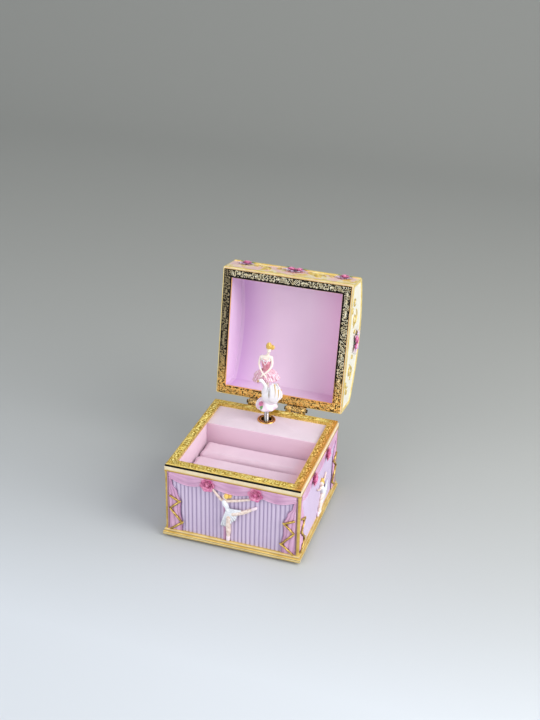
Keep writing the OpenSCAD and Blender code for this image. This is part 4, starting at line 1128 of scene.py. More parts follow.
@dataclass
class StagePanels:
    """The relief on the four sides: pleated curtain, swags, tied drapes, roses and a dancer."""

    face: float = 49.2
    foot: float = 6.3
    head: float = 56.35
    curtain_half: float = 45.4
    pleats: int = 29
    reach: float = 47.6
    swag_x: float = 17.9
    swag_h: float = 4.6
    swag_drop: float = 4.1
    rose_z: float = 52.0
    rose_r: float = 4.8
    parting: float = -5.3
    drape_in: tuple[Pair, ...] = ((0.6, 0.0), (2.7, 0.2), (6.3, 0.305), (9.0, 0.478), (8.7, 0.65),
                                  (10.3, 0.833), (9.9, 1.0))
    lace: tuple[Pair, ...] = ((0.5, 0.398), (7.9, 0.472), (0.5, 0.616), (9.7, 0.829), (0.7, 0.978))

    def build(self) -> None:
        """Makes each kind of relief once for all four sides."""
        self.curtains()
        self.swags()
        self.drapes()
        self.lacing()
        self.roses()
        self.dancers()

    def at(self, side: Side, x: float, out: float, z: float) -> Vector:
        """A place on a side: across, out from the panel's face, and up."""
        return side.turn @ Vector((x, -(self.face + out), z))

    def pleat(self, u: float) -> float:
        """How far a pleat stands out at a share of the curtain, from 0 in its groove to 1 on its crest."""
        return abs(math.sin(math.pi * u * self.pleats)) ** 0.9

    def hung(self, u: float) -> float:
        """Where a share of the curtain hangs, in millimetres across: not quite evenly."""
        x = (u - 0.5) * 2 * self.curtain_half
        return x + 0.34 * math.sin(x * 0.31 + 1.3)

    def shadow(self, x: float, z: float) -> float:
        """Works out how dark the curtain is close under a swag or beside a drape.

        Args:
            x: place across the panel.
            z: height.

        Returns:
            How dark it is there, from 0 to 1.
        """
        reach = self.swag_x if abs(x) < self.swag_x else self.reach - self.swag_x
        share = (x + reach) / (2 * reach) if abs(x) < self.swag_x else (abs(x) - self.swag_x) / reach
        under = self.head - self.swag_h - self.swag_drop * math.sin(math.pi * share) - z
        beside = self.reach - self.edge_in((self.head - z) / (self.head - self.foot)) - abs(x)
        return max(1.0 - gap / CURTAIN_SHADOW if 0.0 < gap < CURTAIN_SHADOW else 0.0
                   for gap in (under, beside))

    def curtains(self) -> None:
        """The straight pleats of the drawn curtain, not quite even, with a parting on the front."""
        bm = bmesh.new()
        for side in Side:
            def up(w: float) -> float:
                """How high a share of the curtain lies."""
                return self.foot + w * (self.head - self.foot)

            def shape(u: float, w: float) -> Vector:
                """A point of the curtain."""
                return self.at(side, self.hung(u), 0.16 + 0.62 * self.pleat(u), up(w))

            def depth(u: float, w: float) -> float:
                """The grooves' shade, and what the drapes and swags cast."""
                return max((1 - self.pleat(u)) ** 1.5, self.shadow(self.hung(u), up(w)))

            Workshop.sheet(bm, 8 * self.pleats, 40, shape, depth)
        lay("pleated_curtain", bm, CURTAIN, "box", "curtains")
        bm = bmesh.new()

        def parted(u: float, w: float) -> Vector:
            """A point of the one pleat that is turned round at the parting."""
            x = self.parting + (u - 0.5) * 2.2 + 0.25 * math.sin(w * 4)
            return self.at(Side.FRONT, x, 0.5 + 0.75 * math.sin(math.pi * u), self.foot + w * 40.0)

        # Painted shade over the turned pleat, darkest at its edges.
        Workshop.sheet(bm, 8, 14, parted, lambda u, w: max(0.35, 1 - 4 * min(u, 1 - u)), thick=0.3)
        lay("parting_pleat", bm, MAUVE, "box")

    def swags(self) -> None:
        """Three shallow swags a side, creased along their sag, with a rolled hem."""
        bm = bmesh.new()
        for side in Side:
            for x0, x1 in ((-self.reach, -self.swag_x), (-self.swag_x, self.swag_x),
                           (self.swag_x, self.reach)):
                def drop(u: float) -> float:
                    """How far the hem hangs below the band."""
                    return self.swag_h + self.swag_drop * math.sin(math.pi * u)

                def crease(u: float, w: float) -> float:
                    """The creases: along the sag, and close together near the ends."""
                    near = abs(2 * u - 1)
                    return abs(math.sin(math.pi * ((1 - w) ** 0.85 * 2.6 + 0.6 * near))) * (0.2 + 0.8 * near)

                def shape(u: float, w: float) -> Vector:
                    """A point of the swag."""
                    out = 1.15 + 0.42 * math.sin(math.pi * min(1.0, 1.1 - w)) + 0.26 * crease(u, w)
                    return self.at(side, x0 + (x1 - x0) * u, out, self.head - (1 - w) * drop(u))

                # The fold layer paints shade in the creases and a dark line along the hem.
                Workshop.sheet(bm, 36, 22, shape, lambda u, w: 0.4 * (1 - crease(u, w)) ** 2 * (w < 0.93)
                               + 0.6 * (w < 0.06), thick=0.3)
                hem = [self.at(side, x0 + (x1 - x0) * i / 24, 1.25, self.head - drop(i / 24) - 0.02)
                       for i in range(25)]
                Workshop.tube(bm, hem, [0.34] * 25, 8)
        lay("swagged_valance", bm, MAUVE, "box", "valances")

    def edge_in(self, w: float) -> float:
        """Works out where a drape's inner edge lies.

        Args:
            w: share of the panel's height, from the top.

        Returns:
            How far in from the reach the edge lies.
        """
        for (a, s), (b, t) in zip(self.drape_in, self.drape_in[1:]):
            if w <= t:
                k = (w - s) / (t - s)
                return a + (b - a) * (3 * k * k - 2 * k ** 3)
        return self.drape_in[-1][0]

    def drapes(self) -> None:
        """A tied-back drape at each end of each panel, its folds fanning from the top."""
        bm = bmesh.new()
        for side in Side:
            for hand in (-1, 1):
                def fold(u: float, w: float) -> float:
                    """The folds that run down the drape."""
                    return abs(math.sin(math.pi * (2.7 * u + 0.35 * math.sin(3.2 * w + 1)))) ** 0.9

                def shape(u: float, w: float) -> Vector:
                    """A point of the drape."""
                    x = hand * (self.reach - u * self.edge_in(w))
                    spread = 0.5 + 0.5 * min(1.0, u * 3)
                    out = 0.95 + 0.62 * fold(u, w) * spread - 0.5 * max(0.0, u - 0.9) * 5
                    return self.at(side, x, out, self.head - 0.6 - w * (self.head - self.foot - 0.6))

                def depth(u: float, w: float) -> float:
                    """Painted shade: in the folds, and on the edge that turns in."""
                    return max(0.7 * (1 - fold(u, w)) ** 2, min(1.0, (u - 0.86) * 9))

                Workshop.sheet(bm, 22, 34, shape, depth, thick=0.35)
        lay("tied_drapes", bm, MAUVE, "box", "side_drapes")

    def lacing(self) -> None:
        """A gold cord that zigzags down each drape, knotted where it turns, with a wider dark tube behind it
        as painted shade along its edges.
        """
        bm, under = bmesh.new(), bmesh.new()
        tall = self.head - self.foot
        for side in Side:
            low = side.turn @ Vector((0.0, 0.55, -0.25))
            for hand in (-1, 1):
                turns = [self.at(side, hand * (self.reach - 0.3 - x), 2.1, self.head - w * tall) for x,
                         w in self.lace]
                for a, b in zip(turns, turns[1:]):
                    Workshop.tube(bm, [a, (a + b) / 2, b], [0.62, 0.70, 0.62], 8)
                    Workshop.tube(under, [a + low, (a + b) / 2 + low, b + low], [0.85, 0.95, 0.85], 8)
                for i, place in enumerate(turns):
                    wide = 0.85 if i % 2 else 0.55
                    Workshop.ball(bm, place, (wide, wide, wide * 0.8), segments=10)
                    if i % 2:
                        for dx, dz in ((-0.75, 0.35), (0.75, 0.5), (0.1, -0.9)):
                            lobe = side.turn @ Vector((dx, 0, dz))
                            Workshop.ball(bm, place + lobe, (0.62, 0.62, 0.5), segments=8)
        lay("gold_lacing", bm, GOLD_CORD, "box", "drape_cords")
        lay("lacing_shade", under, SHADE_BROWN, "box")

    def roses(self) -> None:
        """The roses that hold up each middle swag."""
        bm = bmesh.new()
        for side in Side:
            for hand in (-1, 1):
                place = moved(self.at(side, hand * self.swag_x, 1.7, self.rose_z)) @ side.turn
                turn = turned(90, "X") @ Matrix.Rotation(hand * 0.4 + side.value, 4, "Z")
                Workshop.rose(bm, place @ turn, self.rose_r, 1.9)
        lay("swag_roses", bm, ROSE, "box", "panel_roses")

    def dancers(self) -> None:
        """One relief dancer a side: an arabesque on the front and back, a curtsy on the ends."""
        skin, hair, shoes, frock = bmesh.new(), bmesh.new(), bmesh.new(), bmesh.new()
        for side in Side:
            pose = ARABESQUE if side in (Side.FRONT, Side.BACK) else CURTSY
            self.dancer(side, pose, skin, hair, shoes, frock)
        seat(Workshop.fuse(Workshop.piece("relief_skin", skin, SKIN), 0.26, 4), "box", "panel_dancers")
        lay("relief_hair", hair, HAIR, "box", "panel_dancers")
        lay("relief_shoes", shoes, SHOE, "box", "panel_dancers")
        lay("relief_frock", frock, FROCK, "box", "panel_dancers")

    def dancer(self, side: Side, pose: DancePose, skin: Mesh, hair: Mesh,
               shoes: Mesh, frock: Mesh) -> None:
        """Draws one relief dancer into the four meshes.

        Args:
            side: the face of the case that carries her.
            pose: where her joints are.
            skin: takes her head, arms and legs.
            hair: takes her hair and bun.
            shoes: takes her shoes.
            frock: takes her bodice and skirt.
        """
        def placed(row: Iterable[Point], out: float) -> list[tuple[Vector, float]]:
            """Stations of a limb, out from the panel."""
            return [(self.at(side, x, out, z), r) for x, z, r in row]

        for row, out in ((pose.stand, 1.5), (pose.lifted, 1.6), *((arm, 1.5) for arm in pose.arms)):
            Workshop.limb(skin, *placed(row, out), sides=10)
        Workshop.limb(skin, *placed(((pose.arms[0][0][0], pose.arms[0][0][1], 0.9),
                                     (pose.arms[1][0][0], pose.arms[1][0][1], 0.9)), 1.5), sides=10)
        x, z, r = pose.head
        chest = pose.torso[-1]
        Workshop.limb(skin, *placed(((chest[0] + 0.4, chest[1] + 0.6, 0.9), (x + 0.2, z - 1.2, 0.75)),
                                    1.5), sides=10)
        Workshop.ball(skin, self.at(side, x - 0.1, 1.7, z - 0.1), (r * 0.86, r * 0.86, r))
        Workshop.ball(hair, self.at(side, x + 0.65, 1.7, z + 0.55), (r * 0.88, r * 0.92, r * 0.86))
        Workshop.ball(hair, self.at(side, pose.bun[0], 1.6, pose.bun[1]), (pose.bun[2],) * 3)
        for row, out in ((pose.stand[-2:], 1.5), (pose.lifted[-2:], 1.6)):
            Workshop.limb(shoes, *[(p, r + 0.3) for p, r in placed(row, out)], sides=10)
        Workshop.limb(frock, *placed(pose.torso, 1.5), sides=14)

        def spoke(u: float) -> Pair:
            """Direction and length of the skirt at a share of its fan."""
            k = u * (len(pose.fan) - 1)
            i = min(int(k), len(pose.fan) - 2)
            (a, p), (b, q) = pose.fan[i], pose.fan[i + 1]
            return math.radians(a + (b - a) * (k - i)), p + (q - p) * (k - i)

        def pleat(u: float) -> float:
            """The skirt's fine pleats."""
            return abs(math.sin(math.pi * 12 * u))

        def shape(u: float, w: float) -> Vector:
            """A point of the skirt."""
            a, length = spoke(u)
            run = 0.12 + 0.88 * w + 0.03 * w * math.sin(21 * u)
            out = 1.5 + 1.35 * math.sin(math.pi * min(1.0, 0.25 + 0.6 * w)) + 0.5 * w * pleat(u)
            return self.at(side, pose.waist[0] + length * run * math.cos(a), out,
                           pose.waist[1] + length * run * math.sin(a))

        # Painted shade in the pleats' grooves, deeper towards the hem.
        Workshop.sheet(frock, 96, 12, shape, lambda u, w: (0.35 + 0.65 * w) * (1 - pleat(u)) ** 1.3,
                       thick=0.5)


# ---------------------------------------------------------------------------------------------
# Gilt frames


class Ground(Enum):
    """What shows between the scrolls of a frame."""

    GOLD = "base"
    BLACK = "lid"


@dataclass
class GiltFrame:
    """A square frame whose face is filled with chased scrollwork."""

    ground: Ground
    field_z: float
    field_mid: float
    wire: float = 0.24
    half_run: float = 44.9
    units: int = 32
    across: float = 1.2
    seed: int = 5
    plain_r: float = 4.4

    def build(self) -> None:
        """Finishes the frame's node and lays its scrollwork round the four sides."""
        lid = self.ground is Ground.BLACK
        node = "lid_bezel" if lid else "base_bezel"
        dress(LID_FRAME if lid else BASE_FRAME, node)
        draw = random.Random(self.seed)
        pitch = 2 * self.half_run / self.units
        tip = Matrix.Rotation(math.pi, 4, "X") if lid else Matrix.Identity(4)
        turns = [turned(90 * k, "Z") for k in range(4)]
        stamps = (self.scroll, self.spray, self.strokes)
        places: list[list[Matrix]] = [[] for _ in stamps]
        stop = sum(corners("spindle"), Vector()) / 2
        stop.y = corners("stop_wire")[1].y
        for turn in turns:
            for i in range(self.units):
                spot = moved(pitch * (i + 0.5) - self.half_run, -self.field_mid, self.field_z)
                lie = Matrix.Rotation(draw.uniform(-0.25, 0.25) + draw.choice((0.0, math.pi)), 4, "Z")
                size = draw.uniform(0.92, 1.1)
                flip = scaled(size, size * self.across * draw.choice((-1, 1)), 1)
                kind = draw.choices(places, (5, 3, 2))[0]
                if ((turn @ spot).translation.xy - stop.xy).length > self.plain_r:
                    kind.append(turn @ spot @ tip @ lie @ flip)
        bm = bmesh.new()
        for stamp, spots in zip(stamps, places):
            Workshop.merge(bm, stamp(), spots)
        corner = moved(self.field_mid, -self.field_mid, self.field_z) @ tip
        Workshop.merge(bm, self.corner(), [turn @ corner for turn in turns])
        if lid:
            bmesh.ops.transform(bm, matrix=opened(), verts=bm.verts[:])
        seat(Workshop.piece(f"{self.ground.value}_frame_scrolls", bm, LID_GILT if lid else GILT),
             "lid" if lid else "box")

    @staticmethod
    def leaf(bm: Mesh, x: float, y: float, angle: float, half: float, wide: float = 0.24) -> None:
        """Draws one low four-sided leaf.

        Args:
            bm: the mesh to draw in.
            x: its middle across.
            y: its middle along.
            angle: the way that it points, in radians.
            half: half its length.
            wide: half its width.
        """
        lie = moved(x, y, 0.1) @ Matrix.Rotation(angle, 4, "Z")
        bmesh.ops.create_cone(bm, cap_ends=False, segments=4, radius1=1.0, radius2=0.12, depth=0.5,
                              matrix=lie @ scaled(half, wide, 0.6))

    def scroll(self) -> Mesh:
        """Draws an S-scroll that curls in at both ends, with the leaves that fill round it."""
        bm = bmesh.new()
        half, place, heading = [], Vector((0.0, 0.0, 0.18)), 0.62
        for i in range(11):
            half.append(place.copy())
            heading += 0.136 * (i + 1)
            place += Vector((math.cos(heading), math.sin(heading), 0.0)) * 0.43
        path = [Vector((-p.x, -p.y, p.z)) for p in half[:0:-1]] + half
        radii = [self.wire * (0.62 + 0.5 * math.sin(math.pi * i / (len(path) - 1))) for i in range(len(path))]
        Workshop.tube(bm, path, radii, 4)
        for x, y, angle, long in ((0.95, -1.42, 0.7, 0.66), (0.1, 1.8, -0.3, 0.6), (-1.2, 1.3, 0.9, 0.5),
                                  (1.4, 0.05, 1.3, 0.6), (0.4, -1.95, 0.1, 0.5)):
            for hand in (1, -1):
                self.leaf(bm, hand * x, hand * y, angle, long)
        return bm

    def spray(self) -> Mesh:
        """Draws a fan of five leaves over two small curls."""
        bm = bmesh.new()
        for angle in (-1.05, -0.52, 0.0, 0.52, 1.05):
            self.leaf(bm, 1.2 * math.sin(angle), 1.25 * math.cos(angle) - 1.0, math.pi / 2 - angle, 1.05, 0.3)
        for hand in (-1, 1):
            Workshop.scroll(bm, moved(hand * 0.8, -1.4, 0.18), 0.62, self.wire * 0.8, 1.1, hand, 8, 4)
            self.leaf(bm, hand * 1.2, 1.75, hand * 0.6, 0.5)
        return bm

    def strokes(self) -> Mesh:
        """Draws three slanting strokes, each bowed like an S, with leaves between their ends."""
        bm = bmesh.new()
        for dx in (-1.05, 0.0, 1.05):
            path = [Vector((dx + hand * x, hand * y, 0.18)) for hand, x, y in
                    ((-1, 1.35, 1.7), (-1, 0.75, 1.45), (-1, 0.35, 0.5),
                     (1, 0.35, 0.5), (1, 0.75, 1.45), (1, 1.35, 1.7))]
            Workshop.tube(bm, path, [self.wire * k for k in (0.5, 1.0, 1.3, 1.3, 1.0, 0.5)], 4)
            self.leaf(bm, dx + 0.45, -1.6, 0.3, 0.36)
            self.leaf(bm, dx - 0.45, 1.6, 0.3, 0.36)
        return bm

    @staticmethod
    def corner() -> Mesh:
        """Draws the leafy flower of a corner."""
        bm = bmesh.new()
        for k in range(8):
            reach = 2.0 if k % 2 else 1.5
            lobe = Matrix.Rotation(math.tau * k / 8, 4, "Z") @ moved(reach, 0, 0.12)
            bmesh.ops.create_icosphere(bm, subdivisions=1, radius=1.0,
                                       matrix=lobe @ scaled(0.85, 0.34, 0.3))
        bmesh.ops.create_icosphere(bm, subdivisions=2, radius=0.55, matrix=scaled(1, 1, 0.5))
        return bm


# ---------------------------------------------------------------------------------------------
# Velvet tray


@dataclass
class RingTray:
    """The velvet lining, the cover over the movement, and three stuffed ring rolls."""

    rolls: tuple[str, ...] = ("ring_roll_rear", "ring_roll_middle", "ring_roll_front")
    round_by: float = 3.4
    slack: float = 0.45
    voxel: float = 1.1
    sim_scale: float = 10.0
    pressure: float = 4.0
    frames: int = 20
    rise: float = 1.3
    groove_r: float = 5.4

    def build(self) -> None:
        """Covers the tray in velvet and stuffs its rolls."""
        dress(BOARD, "tray_floor")
        seat(Workshop.copy_of("tray_lining", "velvet_lining", VELVET, 0.45), "box")
        seat(Workshop.copy_of("mechanism_cover", "velvet_cover", COVER_VELVET, 1.3, 4), "box")
        dress(EYELET_BRASS, "eyelet")
        self.groove()
        for node in self.rolls:
            self.roll(node)

    def groove(self) -> None:
        """A black ring on the eyelet's flange: painted shade of a turned groove there."""
        low, high = corners("eyelet")
        bm = bmesh.new()
        middle, path = (low + high) / 2, []
        for i in range(49):
            a = math.tau * i / 48
            path.append((middle.x + self.groove_r * math.cos(a), middle.y + self.groove_r * math.sin(a),
                         high.z))
        Workshop.tube(bm, path, [0.3] * 49, 6, 0.4)
        lay("eyelet_groove_shade", bm, PAINTED_SHADE_BLACK, "box")

    def roll(self, node: str) -> None:
        """Args:
            node: the CAD node that it stands for.
        """
        low, high = corners(node)
        size = high - low - Vector((self.slack,) * 3) * 2
        bm = Workshop.block((low + high) / 2, size, self.round_by, 4)
        piece = Workshop.piece(node.replace("ring_roll", "stuffed_roll"), bm, VELVET)
        remesh = piece.modifiers.new("net", "REMESH")
        remesh.mode, remesh.voxel_size, remesh.use_smooth_shade = "VOXEL", self.voxel * MM, True
        Workshop.settle(piece)
        self.stuff(piece, low * MM, high * MM)
        once = piece.modifiers.new("fine", "SUBSURF")
        once.levels = once.render_levels = 1
        Workshop.settle(piece)
        piece.data.shade_smooth()
        seat(piece, "box", node)

    def stuff(self, piece: Piece, low: Vector, high: Vector) -> None:
        """Swells a piece as cloth under pressure, within its seat.

        Args:
            piece: the piece, at its true size.
            low: the seat's lowest corner, in metres.
            high: the seat's highest corner, in metres.
        """
        start = [v.co.copy() for v in piece.data.vertices]
        middle = (low + high) / 2
        grow = Matrix.Scale(self.sim_scale, 4) @ moved(-middle)
        piece.data.transform(grow)
        cloth = piece.modifiers.new("stuffing", "CLOTH")
        rules = cloth.settings
        rules.quality, rules.mass = 4, 0.3
        rules.use_pressure, rules.uniform_pressure_force = True, self.pressure
        rules.tension_stiffness = rules.compression_stiffness = 12.0
        rules.effector_weights.gravity = 0.0
        cloth.point_cache.frame_end = self.frames
        for step in range(1, self.frames + 1):
            bpy.context.scene.frame_set(step)
        Workshop.settle(piece)
        bpy.context.scene.frame_set(1)
        piece.data.transform(grow.inverted())
        cap = self.rise * MM
        edge = Vector((0.03 * MM,) * 3)
        for v, before in zip(piece.data.vertices, start):
            move = v.co - before
            if move.length > cap:
                move *= cap / move.length
            v.co = Vector(max(a, min(b, c)) for a, b, c in zip(low + edge, high - edge, before + move))


# ---------------------------------------------------------------------------------------------
# Lid


@dataclass
class Lid:
    """The domed lid: its enamel, lining, gold trim, scrolls, roses and leaves."""

    wall: float = 50.6
    rim: float = 62.4
    row_z: float = 22.6
    row_x: tuple[float, ...] = (-39.0, -3.0, 3.4, 39.0)
    rose_r: float = 3.3
    end_roses: tuple[Pair, ...] = ((0.0, 33.0), (3.6, 28.6), (-3.2, 27.6))
    end_scrolls: tuple[tuple[float, float, float, float, int], ...] = (
        (22.0, 17.5, 7.0, 0.3, 1), (17.4, 15.4, 2.9, 3.6, -1), (36.0, 12.5, 4.2, 2.2, 1),
        (6.5, 29.5, 3.8, 4.6, -1), (29.0, 8.2, 3.0, 1.0, -1), (10.5, 20.5, 2.6, 0.8, 1))
    row_scrolls: tuple[tuple[float, float, float, float, int], ...] = (
        (21.0, 15.0, 5.2, 0.4, 1), (29.5, 19.0, 3.0, 2.6, -1), (12.6, 20.6, 2.8, 5.2, -1))

    def build(self) -> None:
        """Finishes the lid's nodes and adds its ornament."""
        dress(LID_ENAMEL, "lid_shell")
        dress(LID_GOLD, "lid_trim")
        seat(Workshop.copy_of("lid_lining", "satin_lining", LILAC, 0.5), "lid")
        meshes = scrolls, roses, leaves, lobes = bmesh.new(), bmesh.new(), bmesh.new(), bmesh.new()
        for hand in (1, -1):
            self.end(hand, *meshes)
            self.row(hand, *meshes)
        for name, bm, finish, nodes in (("lid_gold_scrolls", scrolls, OCHRE_GOLD, ("lid_scrolls",)),
                                        ("lid_rose_heads", roses, ROSE, ("lid_roses",)),
                                        ("lid_leaves", leaves, LEAF, ()),
                                        ("lid_petals", lobes, PALE_LILAC, ())):
            bmesh.ops.transform(bm, matrix=opened(), verts=bm.verts[:])
            lay(name, bm, finish, "lid", *nodes)

    def leaf(self, bm: Mesh, place: Matrix, angle: float, length: float, width: float) -> None:
        """Lays one leaf or petal flat on a wall, pointing along an angle."""
        lie = place @ Matrix.Rotation(angle, 4, "Z") @ turned(LEAF_TILT, "X")
        Workshop.petal(bm, lie, length, width, 0.5, 0.1)

    @staticmethod
    def curls(bm: Mesh, wall: Matrix, rows: Sequence[tuple[float, ...]], out: float, wire: Pair,
              fine: tuple[int, int]) -> None:
        """Draws mirrored pairs of scrolls on a wall.

        Args:
            bm: the mesh to draw in.
            wall: the wall's frame.
            rows: place across and up, radius, angle of the start and hand of each scroll.
            out: how far they stand off the wall.
            wire: the drawn line's radius, as a base and a share of the scroll's radius.
            fine: points along each scroll and round it.
        """
        for mirror in (1, -1):
            for x, z, r, start, turn in rows:
                place = wall @ scaled(mirror, 1, 1) @ moved(x, z, out) @ Matrix.Rotation(start, 4, "Z")
                Workshop.scroll(bm, place, r, wire[0] + r * wire[1], 1.2, turn, *fine)

    def end(self, hand: int, scrolls: Mesh, roses: Mesh, leaves: Mesh, lobes: Mesh) -> None:
        """Draws the ornament of one end wall.

        Args:
            hand: 1 for the right end, -1 for the left.
            scrolls: takes the gold scrolls.
            roses: takes the roses.
            leaves: takes the leaves.
            lobes: takes the pale petals behind them.
        """
        wall = Matrix(((0, 0, hand, hand * self.wall), (hand, 0, 0, 0), (0, 1, 0, self.rim), (0, 0, 0, 1)))
        self.curls(scrolls, wall, self.end_scrolls, 0.42, (0.16, 0.055), (22, 8))
        for i, (y, z) in enumerate(self.end_roses):
            Workshop.rose(roses, wall @ moved(y, z, 0.35) @ Matrix.Rotation(i, 4, "Z"),
                          self.rose_r * 0.92, 1.7)
        for angle in (-1.9, -1.2, 1.0, 1.8, 3.0):
            self.leaf(leaves, wall @ moved(0, 29.5, 0.3), angle, 7.4, 2.6)
        for angle in (-2.4, -1.5, -0.8, 0.8, 1.5, 2.4):
            self.leaf(lobes, wall @ moved(0, 28.6, 0.2), angle, 10.5, 5.4)

    def row(self, hand: int, scrolls: Mesh, roses: Mesh, leaves: Mesh, lobes: Mesh) -> None:
        """Draws the ornament of the front or the rear wall.

        Args:
            hand: 1 for the front, -1 for the rear.
            scrolls: takes the gold scrolls.
            roses: takes the roses.
            leaves: takes the leaves.
            lobes: takes the pale petals behind them.
        """
        wall = Matrix(((hand, 0, 0, 0), (0, 0, -hand, -hand * self.wall), (0, 1, 0, self.rim), (0, 0, 0, 1)))
        for i, x in enumerate(self.row_x):
            Workshop.rose(roses, wall @ moved(x, self.row_z, 0.3) @ Matrix.Rotation(i * 1.3, 4, "Z"),
                          self.rose_r, 1.6)
        for x, reach in ((-39.0, 6.6), (0.2, 9.5), (39.0, 6.6)):
            for angle in (1.15, -1.15):
                self.leaf(leaves, wall @ moved(x, self.row_z, 0.25), angle, reach, 2.4)
            for angle in (2.0, 2.6, 3.14, -2.6, -2.0):
                self.leaf(lobes, wall @ moved(x, self.row_z - 0.6, 0.15), angle, reach + 0.6, 4.6)
        self.curls(scrolls, wall, self.row_scrolls, 0.4, (0.14, 0.05), (20, 7))


# ---------------------------------------------------------------------------------------------
# Hinges, stem and movement


@dataclass
class Fittings:
    """The hinges, the stem spring and the movement under the cover."""

    pivot: Pair = (-2.8, 35.8)
    coil_r: float = 1.62
    wire_r: float = 0.36
    coil_pitch: float = 0.76
    coil_low: float = 52.6
    coil_high: float = 71.2
    bend_from: float = 62.4
    bend_to: float = 71.4
    hinge_x: float = 15.4
    knuckle_len: float = 16 / 3
    knuckle_r: float = 2.08

    def build(self) -> None:
        """Finishes the metalwork and winds the stem spring."""
        dress(HINGE_BRASS, "hinge_lower_leaves", "hinge_upper_leaves")
        dress(DARK_BRASS, "hinge_pins")
        dress(STEEL, "stem_ferrule", "comb", "comb_screws", "movement_screws", "winding_arbor", "spindle",
              "stop_wire", "cylinder_arbor")
        dress(BRASS, "pinned_cylinder", "governor_wheel", "governor_bracket", "winding_key", "stop_guide",
              "spring_barrel")
        dress(ZINC, "bedplate", "spindle_bridge")
        dress(BLUE_STEEL, "mainspring")
        dress(WHITE, "fly")
        self.spring()
        self.knuckles("box", (0, 2))
        self.knuckles("lid", (1,))

    def knuckles(self, body: str, which: Iterable[int]) -> None:
        """Winds small gilt leaves round the hinge knuckles, over their darker ground.

        Args:
            body: the body that carries these knuckles.
            which: their places along each hinge.
        """
        axis = opened_about()
        leaf = bmesh.new()
        bmesh.ops.create_cone(leaf, cap_ends=False, segments=6, radius1=1.0, radius2=0.3, depth=1.0,
                              matrix=scaled(0.72, 0.34, 0.5))
        places = []
        for middle in (-self.hinge_x, self.hinge_x):
            for k in which:
                for i in range(4):
                    x = middle + (k - 1) * self.knuckle_len - self.knuckle_len / 2 + 0.85 + 1.2 * i
                    for j in range(9):
                        lie = Matrix.Rotation(math.tau * (j + 0.5 * (i % 2)) / 9, 4, "X")
                        places.append(moved(x, axis.y, axis.z) @ lie
                                      @ moved(0, 0, self.knuckle_r)
                                      @ Matrix.Rotation(0.8 if (i + j) % 2 else -0.8, 4, "Z"))
        bm = bmesh.new()
        Workshop.merge(bm, leaf, places)
        lay(f"{body}_knuckle_leaves", bm, HINGE_GILT, body)

    def spring(self) -> None:
        """Winds the close spring that carries the figurine and that, on the box, folds under the lid; here it
        is drawn straight.
        """
        bm = bmesh.new()
        turns = (self.coil_high - self.coil_low) / self.coil_pitch
        steps = int(turns * 18)
        path = []
        for i in range(steps + 1):
            a = math.tau * turns * i / steps
            path.append((self.pivot[0] + self.coil_r * math.cos(a), self.pivot[1] + self.coil_r * math.sin(a),
                         self.coil_low + (self.coil_high - self.coil_low) * i / steps))
        Workshop.tube(bm, path, [self.wire_r] * len(path), 7)
        piece = Workshop.piece("stem_coil", bm, STEEL)
        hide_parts("stem_spring")
        x, y = self.pivot
        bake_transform(piece)
        log.info("piece %s bends between the box and the stem", piece.name)


# ---------------------------------------------------------------------------------------------
# Figurine


